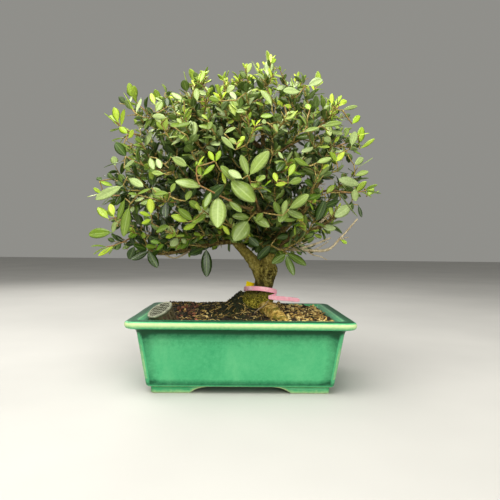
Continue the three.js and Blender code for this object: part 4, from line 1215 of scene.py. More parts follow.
def growTwigs(spray, number):
    share = seededShares(1000 + number * 17)
    radii = growth["twigRadii"]
    if spray["kind"] == "placed":
        for start, end in spray["twigs"]:
            points = [vec(*start), vec(*end)]
            spray["stems"].append({"points": points, "radii": radii, "main": False})
            standing.add(points, radii, spray["name"], False)
        return
    young = spray["kind"] == "shoot"
    phase = share() * 2 * math.pi
    line = (spray["foot"], spray["through"], spray["tip"])
    for k, start in enumerate([0.2] if young else [0.18, 0.42, 0.66]):
        origin = bentPoint(*line, start)
        tangent = unit(bentPoint(*line, start + 0.0001) - bentPoint(*line, start - 0.0001))
        base = growth["youngTwigLength"] if young else growth["oldTwigLength"] - 3 * k
        reach = base * (0.85 + 0.3 * share())
        for attempt in range(7):
            side = turned(unit(np.cross(tangent, up)), tangent, phase + k * goldenAngle + attempt * 0.9)
            end = origin + unit(tangent * 0.62 + side + spray["outward"] * 0.15) * reach
            checks = [origin + (end - origin) * s for s in (0.35, 0.5, 0.65, 0.8, 1)]
            if not standing.clear(checks, 0.6, 2.2):
                continue
            spray["stems"].append({"points": [origin, end], "radii": radii, "main": False})
            standing.add([origin, end], radii, spray["name"], False)
            break


leafShares = {
    "spray": ([1, 0.72, 0.42, 0.14, 0.86, 0.57, 0.28], [1, 0.5]), "shoot": ([1, 1, 0.8, 0.6], [1])
}


def growLeaves(spray, number):
    share = seededShares(5000 + number * 31)
    spray["leaves"] = []

    def keep(leaf):
        leaf["owner"] = spray["name"]
        standingLeaves.append(leaf)
        spray["leaves"].append(leaf)

    if spray["kind"] == "placed":
        for place, tip, width in spray["laid"]:
            foot = ontoStem(spray, vec(*place))
            run = vec(*tip) - foot
            keep(leafAt(foot, unit(run), vec(0.1, -0.85, 0.5), math.sqrt(float(run @ run)), width, 0.05))
        return
    young = spray["kind"] == "shoot"
    wanted = crown["leavesPerShoot"] if young else crown["leavesPerSpray"]
    facing = unit(spray["outward"] * 0.65 + up * 0.75)
    spots = []
    for order, stem in enumerate(spray["stems"]):
        for k, along in enumerate(leafShares[spray["kind"]][0 if stem["main"] else 1]):
            spots.append((k, order, stem, along))
    spots.sort(key=lambda spot: spot[:2])
    for k, order, stem, along in spots:
        if len(spray["leaves"]) >= wanted:
            break
        length = (crown["youngLeafLength"] if young else crown["leafLength"]) * (0.78 + 0.4 * share())
        width = length * (crown["leafWidthShare"] - (0.1 if young else 0) + 0.08 * share())
        turn = share() * 2 * math.pi
        foot = ontoStem(spray, curvePoint(stem["points"], along))
        tangent = unit(
            curvePoint(stem["points"], min(along + 0.05, 1)) - curvePoint(stem["points"], min(along, 0.95))
        )
        spread = 0.55 if along == 1 else 1.25
        for attempt in range(8):
            side = turned(
                unit(np.cross(tangent, up)), tangent, turn + (k + order) * goldenAngle + attempt * 0.8
            )
            heading = unit(tangent + side * (spread * (0.7 if young else 1)))
            leaf = leafAt(foot, heading, facing, length, width, 0.1)
            if leafFits(leaf, spray["name"], spray["branch"]):
                keep(leaf)
                break


sprays = planSprays()
growMainWood()
fixedFirst = [s for s in sprays if "foot" in s] + [s for s in sprays if "foot" not in s]
for number, spray in enumerate(fixedFirst):
    growBranch(spray, number)
for number, spray in enumerate(sprays):
    growTwigs(spray, number)
for number, spray in enumerate([s for s in sprays if s["kind"] == "placed"]):
    growLeaves(spray, number)
for number, spray in enumerate([s for s in sprays if s["kind"] != "placed"]):
    growLeaves(spray, number)
print("sprays grown:", len(sprays), "with", sum(len(s["leaves"]) for s in sprays), "leaves")

# Bark, moss on the flare, and the tan of young wood
bark = {
    "trunkSides": 56,
    "trunkRings": 76,
    "limbSides": 30,
    "branchSides": 12,
    "knots": 0.13,
    "mossLow": 94,
    "mossHigh": 103,
    "flareTufts": 1500,
    # the bulk that bark and moss give the trunk, the left limb and the root in front; each level of
    # the trunk is its middle's x, y, height and radius
    "trunk": [
        (17, 2, 58, 13), (16, 2, 72, 20.5), (16.8, 0.5, 84, 20.6), (19, -0.3, 91.5, 20),
        (20.6, -0.2, 96, 18.6), (21.6, 0, 98.6, 15.6), (23.6, 0, 101.4, 12), (26.2, 0, 107.5, 10.5),
        (26.8, 0, 114, 11.2), (27.8, 0, 121, 12.7), (28.8, 0, 128, 12.2), (30, 0, 134, 7.5),
    ],
    "leftLimb": (
        [(24, 0, 115), (16, -1, 130.5), (6.6, -1, 142.6), (-3, 0, 152.4), (-13, 2, 164)], 8.2, 4.2
    ),
    "frontRoot": (
        [(20, -3, 81), (29, -19, 81), (37, -38, 77.2), (43.5, -54, 71), (47, -64, 62)], 10.5, 6.8
    ),
    # pruned stubs, side twigs and a thin young root, each from the wood that bears it
    "smallTwigs": [
        ([(81, -12, 172.5), (90, -15, 181), (99, -17, 190)], 2.0, 1.5),
        ([(70, -33, 148.4), (77, -38, 143.5), (85, -41, 141.5), (92, -44, 138)], 0.8, 0.4),
        ([(79, -37, 148.6), (86, -43, 153), (93, -45, 158)], 0.7, 0.4),
        ([(55, -24, 149), (62, -31, 153.5), (72, -36, 158)], 0.8, 0.4),
        ([(47, -14, 149.6), (54, -22, 143), (64, -27, 139)], 0.8, 0.4),
        ([(107, -40, 159), (110, -42, 161.5), (115, -45, 163)], 0.7, 0.4),
        ([(11.5, -27, 74), (14.2, -27.5, 77.4), (20, -29, 83), (26, -28, 87), (30.6, -18, 91)], 0.75, 0.5),
    ],
}


def smoothLevels(levels, count):
    points = [vec(*level) for level in levels]
    rows = []
    for k in range(count):
        x, y, z, radius = curvePoint(points, k / (count - 1))
        rows.append((x, y, z, radius))
    return rows


def makeWood():
    heap = Heap(["moss", "girth", "rootSkin", "around", "sun"])
    sides = bark["trunkSides"]
    rings, moss, shade = [], [], []
    rows = smoothLevels(bark["trunk"], bark["trunkRings"])
    for x, y, z, radius in rows:
        for k in range(sides):
            angle = 2 * math.pi * k / sides
            swell = 1 + 0.05 * math.sin(3 * angle + z * 0.06)
            reach = radius * swell
            flat = 1 - 0.18 * min(max((z - 104) / 14, 0), 1)
            spot = (x + reach * math.cos(angle), y + reach * math.sin(angle), z)
            reach += 1.0 * roughness3(spot, 7.0) + 0.6 * roughness3((spot[0], spot[1], spot[2] * 2.2), 2.6)
            rings.append((x + reach * math.cos(angle), y + reach * flat * math.sin(angle), z))
            low = 1 - min(max((z - bark["mossLow"]) / (bark["mossHigh"] - bark["mossLow"]), 0), 1)
            moss.append(0.12 + 0.88 * low)
            shade.append(-min(max((122 - z) / 12, 0), 1))
    faces = [
        bandFaces(len(rows), sides), fanFaces(0, sides, True),
        fanFaces((len(rows) - 1) * sides, sides, False)
    ]
    heap.add(rings, faces, moss=moss, girth=1.0, sun=shade)

    def addLimb(line, steps, limbSides, knots, **marks):
        points, first, last = line
        path = alongCurve(points, steps)
        radii = np.array(taper(first, last, len(path)))
        shape, limbFaces = tube(path, radii, limbSides, knots=knots, seed=first * 7)
        heap.add(shape, limbFaces, around=np.repeat(np.arange(len(path)) / 2.0, limbSides), **marks)

    addLimb(bark["leftLimb"], 44, bark["limbSides"], bark["knots"], girth=1.0, moss=0.0, sun=1.0)
    addLimb(tree["limbs"]["rightLimb"], 44, bark["limbSides"], bark["knots"], girth=0.9, moss=0.0, sun=0.8)
    for line in tree["branches"].values():
        addLimb(line, 36, bark["branchSides"], 0.2, girth=0.5)
    for points, first, last in tree["bareTwigs"]:
        addLimb((points, first * 1.25, last * 1.25), 40, 8, 0.35, girth=0.0)
    for line in bark["smallTwigs"]:
        addLimb(line, 16, 7, 0.25, girth=0.0)
    addLimb(bark["frontRoot"], 50, 30, 0.16, girth=0.9, rootSkin=1.0, moss=0.16)
    for line in tree["roots"]:
        addLimb(line, 16, 10, 0.17, girth=0.9, rootSkin=0.3, moss=0.1)
    for spray in sprays:
        if "branchLine" not in spray:
            continue
        start, through, end, radii = spray["branchLine"]
        path = bent(start, through, end, 12)
        shape, limbFaces = tube(path, taper(radii[0], radii[-1], len(path)), 7, knots=0.15)
        heap.add(shape, limbFaces, girth=0.3)
    heap.piece("treeWood", [makeBark()], "bark", ["tree_wood"])


def makeBark():
    finish = Finish("weatheredBark")
    sun = finish.mark("sun")
    grain = finish.clouds(260, 6, 0.72, finish.place((1, 1, 0.6)), 0.3)
    patch = finish.clouds(120, 5, 0.65, warp=0.6)
    streak = finish.clouds(150, 5, 0.7, finish.place((0.5, 0.5, 3.0)), 0.4)
    scars = finish.cells(160, "DISTANCE_TO_EDGE", finish.place((1, 1, 2.0)))
    fine = finish.clouds(650, 5, 0.7)
    thick = finish.ramp(
        grain, [(0.40, (0.018, 0.014, 0.003)), (0.5, (0.145, 0.115, 0.020)), (0.61, (0.44, 0.37, 0.085))]
    )
    thick = finish.mix(finish.span(streak, 0.52, 0.62, 0, 0.65), thick, (0.026, 0.020, 0.006))
    rings = finish.sum("SINE", finish.sum("MULTIPLY", finish.mark("around"), 6.0))
    rings = finish.sum("MULTIPLY", finish.span(rings, 0.55, 0.95), finish.span(fine, 0.40, 0.56))
    thick = finish.mix(finish.sum("MULTIPLY", rings, 0.7), thick, (0.020, 0.015, 0.005))
    thick = finish.mix(finish.span(patch, 0.56, 0.61, 0, 0.8), thick, (0.50, 0.44, 0.14))
    thick = finish.mix(finish.sum("MULTIPLY", sun, 0.4), thick, (0.42, 0.34, 0.075))
    thick = finish.mix(finish.sum("MULTIPLY", sun, -0.45), thick, (0.060, 0.050, 0.014))
    thin = finish.ramp(grain, [(0.3, (0.055, 0.035, 0.012)), (0.7, (0.26, 0.170, 0.062))])
    bare = finish.ramp(grain, [(0.35, (0.26, 0.19, 0.10)), (0.65, (0.66, 0.57, 0.38))])
    thin = finish.mix(finish.span(finish.mark("girth"), 0.05, 0.2), bare, thin)
    color = finish.mix(finish.span(finish.mark("girth"), 0.3, 0.8), thin, thick)
    skin = finish.ramp(
        grain, [(0.38, (0.12, 0.070, 0.012)), (0.5, (0.52, 0.33, 0.065)), (0.64, (0.82, 0.62, 0.22))]
    )
    skin = finish.mix(finish.span(patch, 0.50, 0.60, 0, 0.75), skin, (0.15, 0.150, 0.020))
    color = finish.mix(finish.mark("rootSkin"), color, skin)
    mossTone = finish.ramp(
        fine, [(0.40, (0.020, 0.022, 0.003)), (0.5, (0.21, 0.185, 0.016)), (0.6, (0.62, 0.52, 0.07))]
    )
    mossTone = finish.mix(finish.span(patch, 0.50, 0.64, 0, 0.6), mossTone, (0.035, 0.042, 0.008))
    cover = finish.sum("ADD", finish.mark("moss"), finish.span(patch, 0.3, 0.7, -0.45, 0.45))
    color = finish.mix(finish.span(cover, 0.40, 0.75), color, mossTone)
    relief = finish.sum("MULTIPLY", grain, finish.span(scars, 0.0, 0.12, 0.55, 1.0))
    return finish.set(color=color, rough=0.85, normal=finish.bump(relief, 0.0022, 1.0), shine=0.15)


def makeFlareMoss():
    # short tufts over the flare, thinning out upwards
    rng = np.random.default_rng(52)
    heap = Heap(["kind", "tone"])
    rows = smoothLevels(bark["trunk"], 200)
    while heap.count < bark["flareTufts"] * 16:
        x, y, z, radius = rows[rng.integers(60, 150)]
        if rng.uniform() > (104 - z) / 24 or z < 76:
            continue
        angle = rng.uniform(0, 2 * math.pi)
        out = vec(math.cos(angle), math.sin(angle), 0.35)
        spot = vec(x, y, z) + vec(out[0], out[1], 0) * (
            radius * (1 + 0.05 * math.sin(3 * angle + z * 0.06)) + 0.2
        )
        addTuft(heap, rng, spot, unit(out), rng.uniform(0.5, 1.1))
    finish = Finish("flareMoss")
    tone = finish.mark("tone")
    patch = finish.clouds(120, 4)
    color = finish.ramp(
        tone, [(0, (0.022, 0.026, 0.004)), (0.5, (0.20, 0.185, 0.016)), (1, (0.62, 0.54, 0.07))]
    )
    color = finish.mix(finish.span(patch, 0.5, 0.65, 0, 0.55), color, (0.030, 0.038, 0.008))
    heap.piece("flareMoss", [finish.set(color=color, rough=0.8)], "bark", smooth=False)


makeWood()
makeFlareMoss()
print("wood made")

# Leaves: stations from the stalk to the tip, and the ring of points at each, as shares of the half
# width and how far each lies below the upper face. Close leaves are large, far ones stand inside
leafShape = {
    "stalk": 0.1,
    "stalkHalf": 0.38,
    "belly": 1.06,
    "blunt": 0.6,
    "crenate": 0.018,
    "groove": 0.14,
    "keel": 0.3,
}
closeStations = [
    0, 0.06, 0.1, 0.14, 0.19, 0.26, 0.34, 0.42, 0.5, 0.58, 0.66, 0.74, 0.81, 0.87, 0.92, 0.96, 0.985, 1
]
fullRing = ([-1, -0.5, 0, 0.5, 1, 0.5, 0, -0.5], [0, 0, 0, 0, 0, 0.7, 1, 0.7])
leafGrades = {
    "close": (closeStations, *fullRing),
    "plain": ([0, 0.1, 0.16, 0.28, 0.44, 0.62, 0.79, 0.93, 1], *fullRing),
    "far": ([0, 0.12, 0.3, 0.58, 0.86, 1], [-1, 0, 1, 0], [0, 0, 0, 1]),
}


def leafHalves(stations):
    halves = []
    for k, t in enumerate(stations):
        u = min(max((t - leafShape["stalk"]) / (1 - leafShape["stalk"]), 0), 1)
        half = math.sin(math.pi * u ** leafShape["belly"]) ** leafShape["blunt"] if 0 < u < 1 else 0.0
        half *= 1 + leafShape["crenate"] * (-1) ** k
        halves.append(max(half, 0.05 if t > 0.5 else 0.0))
    return np.array(halves)


def addLeaves(heap, leaves, rng, grade="plain"):
    # every leaf bends, cups and ripples a little in its own way
    if not leaves:
        return
    get = lambda key: np.array([leaf[key] for leaf in leaves], float)
    foot, heading, side, face = get("foot"), get("heading"), get("side"), get("face")
    length, width, arch = get("length"), get("width"), get("arch")
    stations, leafAcross, leafBelow = (np.array(values, float) for values in leafGrades[grade])
    count, rows, wide = len(leaves), len(stations), len(leafAcross)
    cup = rng.normal(0.06, 0.13, count)[:, None, None]
    phase = rng.uniform(0, 6.28, count)[:, None, None]
    sweep = rng.normal(0, 0.05, count)
    t, s = stations[None, :, None], leafAcross[None, None, :]
    half = 0.5 * width[:, None, None] * leafHalves(stations)[None, :, None]
    half = np.maximum(half, leafShape["stalkHalf"] * (t < 0.2))
    blade = (t > 0.12).astype(float)
    lift = -arch[:, None, None] * length[:, None, None] * t**2
    lift = lift + blade * cup * half * s**2
    lift = lift - blade * leafShape["groove"] * (1 - np.abs(s)) ** 2
    lift = lift + blade * 0.06 * half * np.sin(6 * t + phase) * np.abs(s)
    lift = lift - leafBelow[None, None, :] * (leafShape["keel"] + 0.25 * (t < 0.12))
    out = half * s + (sweep * length)[:, None, None] * t**2
    along = length[:, None, None] * t
    points = foot[:, None, None] + heading[:, None, None] * along[..., None]
    points = points + side[:, None, None] * out[..., None] + face[:, None, None] * lift[..., None]
    one = bandFaces(rows, wide)
    starts = (np.arange(count) * rows * wide)[:, None, None]
    slots = np.tile((np.arange((rows - 1) * wide) % wide >= wide // 2).astype(int), count)
    spread = lambda values: np.repeat(values, rows * wide)
    heap.add(
        points, [(one[None] + starts).reshape(-1, 4)], slots, tone=spread(get("tone")),
        age=spread(get("age")),
        along=np.tile(np.repeat(stations, wide), count), across=np.tile(np.abs(leafAcross), rows * count),
    )


def leafFinish(under):
    finish = Finish("leafUnderside" if under else "leafUpperFace")
    tone, age = finish.mark("tone"), finish.mark("age")
    along, across = finish.mark("along"), finish.mark("across")
    if under:
        # the undersides are kept darker than the upper faces, as painted shade
        old = finish.ramp(
            tone, [(0, (0.030, 0.058, 0.010)), (0.6, (0.085, 0.140, 0.026)), (1, (0.17, 0.25, 0.070))]
        )
        young = finish.ramp(tone, [(0, (0.24, 0.40, 0.025)), (1, (0.46, 0.64, 0.06))])
    else:
        # the pale end of this ramp, for the highest tones, is a painted sheen on the upper faces
        old = finish.ramp(tone, [
            (0, (0.008, 0.020, 0.002)), (0.3, (0.034, 0.076, 0.005)), (0.55, (0.124, 0.200, 0.019)),
            (0.78, (0.265, 0.365, 0.080)), (1, (0.445, 0.565, 0.245)),
        ])
        young = finish.ramp(
            tone, [(0, (0.14, 0.29, 0.006)), (0.5, (0.32, 0.50, 0.015)), (1, (0.60, 0.76, 0.06))]
        )
    color = finish.mix(age, old, young)
    blotch = finish.clouds(230, 4, 0.6)
    color = finish.mix(finish.span(blotch, 0.38, 0.75, 0.0, 0.26), color, (0.020, 0.050, 0.008))
    pale = finish.mix(age, finish.mix(tone, (0.20, 0.32, 0.07), (0.62, 0.74, 0.34)), (0.66, 0.78, 0.18))
    rib = finish.span(across, 0.02, 0.12, 0.36, 0.0)
    edge = finish.span(across, 0.92, 1.0, 0.0, 0.26)
    slant = finish.sum("SUBTRACT", finish.sum("MULTIPLY", along, 55.0), finish.sum("MULTIPLY", across, 7.0))
    wave = finish.sum("SINE", slant)
    color = finish.mix(finish.span(wave, 0.5, 1.0, 0.0, 0.2), color, (0.10, 0.18, 0.020))
    color = finish.mix(finish.sum("MAXIMUM", rib, edge), color, pale)
    height = finish.sum("ADD", finish.sum("MULTIPLY", wave, 0.10), blotch)
    rough = (
        finish.span(blotch, 0.3, 0.7, 0.40, 0.55) if under else finish.span(blotch, 0.3, 0.7, 0.25, 0.42)
    )
    return finish.set(color=color, rough=rough, normal=finish.bump(height, 0.0002, 0.5), shine=0.44)


def stemFinish():
    finish = Finish("stemSkin")
    grain = finish.clouds(600, 4)
    old = finish.ramp(
        grain, [(0.3, (0.070, 0.045, 0.012)), (0.5, (0.26, 0.190, 0.040)), (0.68, (0.58, 0.46, 0.12))]
    )
    young = finish.ramp(grain, [(0.3, (0.17, 0.080, 0.025)), (0.7, (0.40, 0.22, 0.06))])
    color = finish.mix(finish.mark("age"), old, young)
    return finish.set(color=color, rough=0.55, normal=finish.bump(grain, 0.0004, 0.6))


leafFinishes = [leafFinish(False), leafFinish(True), stemFinish()]
leafMarks = ["tone", "age", "along", "across"]


def looseLeaf(foot, heading, facing, length, width, arch, tone, age):
    face = facing - heading * float(facing @ heading)
    face = unit(face) if float(face @ face) > 0.01 else unit(np.cross(heading, vec(1, 0.3, 0.2)))
    leaf = {"foot": foot, "heading": heading, "face": face, "side": np.cross(heading, face)}
    return leaf | {"length": length, "width": width, "arch": arch, "tone": tone, "age": age}


def leavesAlong(path, rng, outward, young, spacing=4.3, reach=31, size=15.5, tone=None):
    # leaves in a spiral round the last stretch of a twig, and two at its tip; young is how fresh the tip is
    path = np.array(path)
    runs = np.linalg.norm(np.diff(path, axis=0), axis=1)
    ends = np.concatenate([[0], np.cumsum(runs)])
    total = ends[-1]
    baseTone = rng.uniform(0.2, 0.8) if tone is None else tone
    fresh = rng.uniform(7, 18)
    turn = rng.uniform(0, 6.28)
    leaves = []
    back = 0.0
    while back < min(reach, total - 1):
        at = total - back
        spot = np.array([np.interp(at, ends, path[:, k]) for k in range(3)])
        ahead = np.array([np.interp(min(at + 1, total), ends, path[:, k]) for k in range(3)])
        behind = np.array([np.interp(max(at - 1.5, 0), ends, path[:, k]) for k in range(3)])
        tangent = unit(ahead - behind)
        side = turned(unit(np.cross(tangent, up + vec(0.01, 0, 0))), tangent, turn)
        turn += goldenAngle + rng.normal(0, 0.25)
        opening = 0.5 if back < 1 else rng.uniform(0.7, 1.5)
        heading = unit(tangent + side * opening + rng.normal(0, 0.15, 3))
        facing = unit(outward * 0.8 + up * 0.6 + rng.normal(0, 0.5, 3))
        length = size * rng.uniform(0.66, 1.24) * (0.78 if back < 5 else 1)
        width = length * rng.uniform(0.5, 0.64) * (0.82 if young > 0.6 and back < fresh else 1)
        age = young * max(0.0, 1 - max(back - fresh * 0.6, 0) / (fresh * 0.6)) + abs(rng.normal(0, 0.05))
        leafTone = float(np.clip(baseTone + rng.normal(0, 0.3), 0, 1))
        leaves.append(
            looseLeaf(
                spot, heading, facing, length, width, rng.uniform(-0.03, 0.2), leafTone, min(age, 1.0)
            )
        )
        back += spacing * rng.uniform(0.75, 1.25) if back > 0 else 0.9
    return leaves


placedNames = {spray["name"] for spray in sprays if spray["kind"] == "placed"}

# The leaves that catch the eye from the show side, by kind, each as it was read on an enlarged
# part of the photo: foot, tip and width, in pixels of the 500 by 500 frame
standOutReadings = {
    "paintedSheen": [
        (123.4, 185.8, 95.2, 200.4, 9.8), (115.8, 221, 112.5, 232.4, 6), (127.7, 177.1, 142.4, 188, 8.5),
        (114.7, 166.3, 114.2, 156.5, 8), (155.9, 157.6, 161.3, 167.9, 7.5),
        (149.4, 157.1, 152.7, 169.5, 7.5), (171.1, 156.5, 186.3, 165.2, 8.5),
        (242.7, 178.7, 228.6, 170.6, 9.5), (124.5, 168.4, 133.1, 159.8, 4), (122.3, 161.9, 103.3, 165.7, 3),
        (362.3, 185.2, 339.5, 178.4, 10), (352, 204.2, 335.7, 217.2, 11),
        (354.73, 187.42, 353.64, 201.52, 8.5), (338.5, 192.8, 356.4, 216.2, 2.5),
        (282.1, 215.1, 286.4, 201, 6.5), (283.1, 214, 291.3, 212.9, 7),
        (316.77, 163.56, 330.87, 157.05, 7.5), (351.5, 146.8, 354.7, 131.1, 9),
        (307.5, 86.6, 322.7, 78.5, 8), (300.5, 92.1, 283.1, 91, 9), (271.8, 105.1, 262.5, 88.8, 8.5),
        (303.75, 132.19, 317.85, 126.77, 5.5), (321.6, 126.8, 342.3, 120.8, 6),
        (342.8, 109.4, 358, 105.6, 4.5), (354.19, 164.73, 364.49, 158.76, 7),
        (354.7, 175.6, 367.7, 170.2, 6), (268, 75.8, 267.4, 68.2, 4), (266.9, 122.4, 261.5, 121.3, 5),
        (329.8, 130, 343.9, 132.2, 6), (323.27, 137.61, 330.87, 141.95, 7),
        (136.4, 113.2, 141.3, 98.6, 5.5), (183.6, 100.7, 171.1, 92.6, 7),
        (236.18, 100.74, 230.76, 90.98, 6), (166.8, 118.1, 152.1, 114.8, 7), (235.1, 149.5, 221, 136.5, 6),
    ],
    "green": [
        (128.8, 204.8, 121.8, 236.8, 10), (125, 198.8, 117.4, 219.4, 7), (112.5, 232.4, 88.1, 234.1, 11),
        (170, 225.9, 155.9, 230.3, 9.5), (192.8, 220.5, 177.6, 209.7, 8), (164.6, 173.3, 151.6, 173.3, 5.5),
        (170.56, 192.84, 174.36, 183.62, 6), (168.4, 193.4, 154.8, 193.4, 6), (158.6, 195.6, 153.8, 188, 6),
        (185.2, 200.4, 189.5, 189.6, 7), (151.6, 188, 137.5, 193.4, 4), (263.6, 212.4, 256, 220.5, 7.5),
        (281, 214, 276.6, 199.9, 7), (288, 183.6, 302.7, 179.3, 7.5), (305.9, 224.8, 304.8, 215.1, 7),
        (297.2, 219.4, 284.2, 219.4, 5), (309.7, 165.3, 294.5, 158.2, 6), (246.3, 111.6, 236.5, 111.6, 6),
        (236.5, 144.1, 230, 137.6, 6), (277.7, 133.3, 274.5, 123.5, 6), (155.9, 111.6, 162.4, 101.8, 8),
        (197.7, 101.8, 195, 88.8, 7), (219.9, 100.7, 209.1, 97.5, 6), (174.4, 126.8, 190.6, 122.4, 5.5),
        (224.3, 133.3, 235.1, 126.8, 4), (208, 130, 211.8, 121.3, 6), (128.8, 148.5, 116.3, 144.1, 7),
    ],
    "dark": [
        (134.2, 245.4, 128.8, 259.5, 9), (225.3, 182.5, 204.7, 201, 13), (231.8, 198.8, 242.7, 211.8, 11),
        (325.4, 199.3, 315.7, 219.4, 11), (340.6, 199.9, 326.5, 206.4, 7), (270.7, 244.4, 257.7, 260.1, 10),
        (248.4, 235.7, 258.7, 246.5, 10), (358, 204.8, 361.8, 217.8, 4), (275.6, 237.9, 287.5, 235.7, 8),
        (167.85, 107.25, 166.77, 96.94, 6),
    ],
    "lime": [
        (108.7, 218.9, 96.8, 206.9, 8), (114.71, 216.16, 109.28, 204.23, 7), (113.6, 246, 97.9, 256.8, 4.8),
        (151, 215.1, 150, 199.3, 8.5), (151, 215.6, 139.1, 210.7, 4.5), (151, 219.4, 141.3, 223.2, 5),
        (188.5, 222.1, 172.2, 215.1, 7), (197.14, 223.75, 184.12, 229.72, 6), (200.4, 176, 195, 159.2, 6),
        (214.5, 161.4, 208, 151.6, 6), (215.6, 160.8, 219.4, 150, 6), (222.1, 170.6, 225.9, 183.1, 4),
        (222.1, 224.8, 229.7, 234.6, 5), (202.6, 176, 213.9, 164.1, 5), (99.5, 181.5, 111.5, 186.9, 5),
        (102.23, 193.38, 93.56, 187.96, 4), (366.7, 196.1, 373.2, 187.4, 6),
        (367.2, 196.6, 380.2, 190.1, 2.5), (288.6, 177.1, 295.1, 164.1, 7), (276.6, 182.5, 273.4, 172.8, 6),
        (286.9, 182.5, 275.6, 185.2, 5), (336.3, 161.9, 331.4, 151.1, 5.5), (336.8, 161.4, 345.5, 151.1, 6),
        (361.2, 142.5, 365, 124.1, 9), (361.8, 147.4, 377.5, 137.6, 4.5), (352.6, 123.5, 359.6, 114.8, 6),
        (332, 105.1, 332, 93.1, 5), (335.7, 104, 342.8, 93.1, 4.5), (339.54, 102.36, 346.59, 100.74, 4.5),
        (358, 168, 373.2, 158.2, 2.5), (271.2, 63.3, 270.3, 54.1, 4), (271.2, 63.3, 276.1, 57.4, 4),
        (284.23, 105.08, 290.74, 107.25, 4), (310.3, 109.4, 306.5, 104, 7), (239.8, 140.9, 244.6, 136.5, 5),
        (296.2, 95.3, 291.8, 74.7, 3), (118, 122.4, 113.6, 107.2, 8), (120.67, 126.77, 125.01, 109.96, 6.5),
        (127.722, 134.36, 119.046, 126.768, 7), (128.3, 138.2, 134.2, 130.6, 6),
        (117.96, 125.68, 104.4, 112.67, 2.5), (132.06, 108.87, 124.47, 92.06, 3),
        (154.84, 105.08, 148.87, 93.14, 6), (200.4, 83.4, 204.7, 70.4, 5.5), (187.4, 86.6, 185.2, 70.4, 3),
        (237.3, 147.4, 242.7, 136.5, 5.5),
    ],
}
sight = {
    # the camera as it was solved from the pot, before rounding, with its turns in radians
    "place": (-2.02279, -590.63979, 150.10372),
    "turns": (-0.01969909, -0.00413179, 0.01109865),
    "focal": 509.45973,
    "frameMiddle": 250,
    # how deep in the crown the leaves stand
    "crownShare": 0.93,
    "firstDepth": -60,
    "depthSteps": 8,
    "frontmost": -112,
    "tipNearer": 9,
    "tipFurther": 5,
    # feet in this part of the frame stand by the trunk
    "lowLine": 228,
    "lowSpan": (240, 300),
    "lowDepth": -32,
    # a leaf that shows narrower than this is seen on its edge, and gets a width below nothing
    "narrow": 3.2,
    "edgeWidth": -7.5,
    # one more leaf, on the bare twig, as foot, tip and width in millimetres
    "onBareTwig": (107, -41, 160, 113, -45, 156, 4),
}
sightPlace = vec(*sight["place"])
sightAxes = viewAxes(*sight["turns"])


def seenAt(pixelX, pixelY, depth):
    # the place at this depth that shows at a pixel
    right, top, ahead = sightAxes
    ray = ahead + right * (pixelX - sight["frameMiddle"]) / sight["focal"]
    ray = ray - top * (pixelY - sight["frameMiddle"]) / sight["focal"]
    return sightPlace + ray * (depth - sightPlace[1]) / ray[1]


def crownDepth(pixelX, pixelY):
    # how far forward the crown reaches where a pixel shows
    depth = sight["firstDepth"]
    for _ in range(sight["depthSteps"]):
        x, _, z = seenAt(pixelX, pixelY, depth) - crownMiddle
        share = min(math.hypot(x, z) / outlineReach(x, z) / sight["crownShare"], 1)
        depth = -crown["depthReach"] * sight["crownShare"] * math.sqrt(max(0.02, 1 - share**2))
    return max(depth, sight["frontmost"])


def standOutRow(footX, footY, tipX, tipY, wide):
    first, last = sight["lowSpan"]
    isLow = footY > sight["lowLine"] and first < footX < last
    depth = sight["lowDepth"] if isLow else crownDepth(footX, footY)
    tipDepth = min(max(crownDepth(tipX, tipY), depth - sight["tipNearer"]), depth + sight["tipFurther"])
    width = round(wide * (depth - sightPlace[1]) / sight["focal"], 2)
    width = sight["edgeWidth"] if wide < sight["narrow"] else round(width * 2) / 2
    places = (*seenAt(footX, footY, depth), *seenAt(tipX, tipY, tipDepth))
    return (*(round(float(place)) for place in places), float(width))


standOutLeaves = {kind: [standOutRow(*row) for row in rows] for kind, rows in standOutReadings.items()}
standOutLeaves["lime"].append(sight["onBareTwig"])
# the pale sheened leaves get a high tone as a painted sheen, and the dark ones a low tone that is partly
# painted shade
standOutTones = {"paintedSheen": (0.88, 0.0), "green": (0.62, 0.12), "dark": (0.16, 0.0), "lime": (0.55, 0.95)}


def fromEye(points):
    # where points show in the front view, brought to the pot's middle plane
    eye = vec(*camera["place"])
    away = np.asarray(points, float) - eye
    return eye[[0, 2]] - away[..., [0, 2]] * eye[1] / away[..., 1:2]


def seenLine(foot, tip, half):
    start, end = fromEye(foot), fromEye(tip)
    return [*start, *(end - start), half, min(foot[1], tip[1])]


standOutLines = [seenLine(row[:3], row[3:6], abs(row[6]) / 2)
                 for rows in standOutLeaves.values() for row in np.array(rows, float)]
standOutLines += [seenLine(leaf["foot"], leafPoint(leaf, 1, 0), leaf["width"] / 2)
                  for leaf in standingLeaves if leaf["owner"] in placedNames]
standOutLines = np.array(standOutLines)


def outOfTheWay(leaves):
    # the loose leaves that don't stand in front of one of those
    if not leaves:
        return leaves
    foot, heading, length = (
        np.array([leaf[key] for leaf in leaves], float) for key in ("foot", "heading", "length")
    )
    spots = foot[:, None] + heading[:, None] * (
        length[:, None, None] * np.array([0.3, 0.6, 0.9])[None, :, None]
    )
    start, run, half, depth = np.split(standOutLines, [2, 4, 5], axis=1)
    away = fromEye(spots)[:, :, None] - start[None, None]
    share = np.clip(np.einsum("abij,ij->abi", away, run) / np.einsum("ij,ij->i", run, run), 0, 1)
    gap = np.linalg.norm(away - share[..., None] * run, axis=3).min(1)
    hides = (gap < half[:, 0] + 2.5) & (spots[..., 1].min(1)[:, None] < depth[:, 0] + 7)
    return [leaf for leaf, hidden in zip(leaves, hides.any(1)) if not hidden]


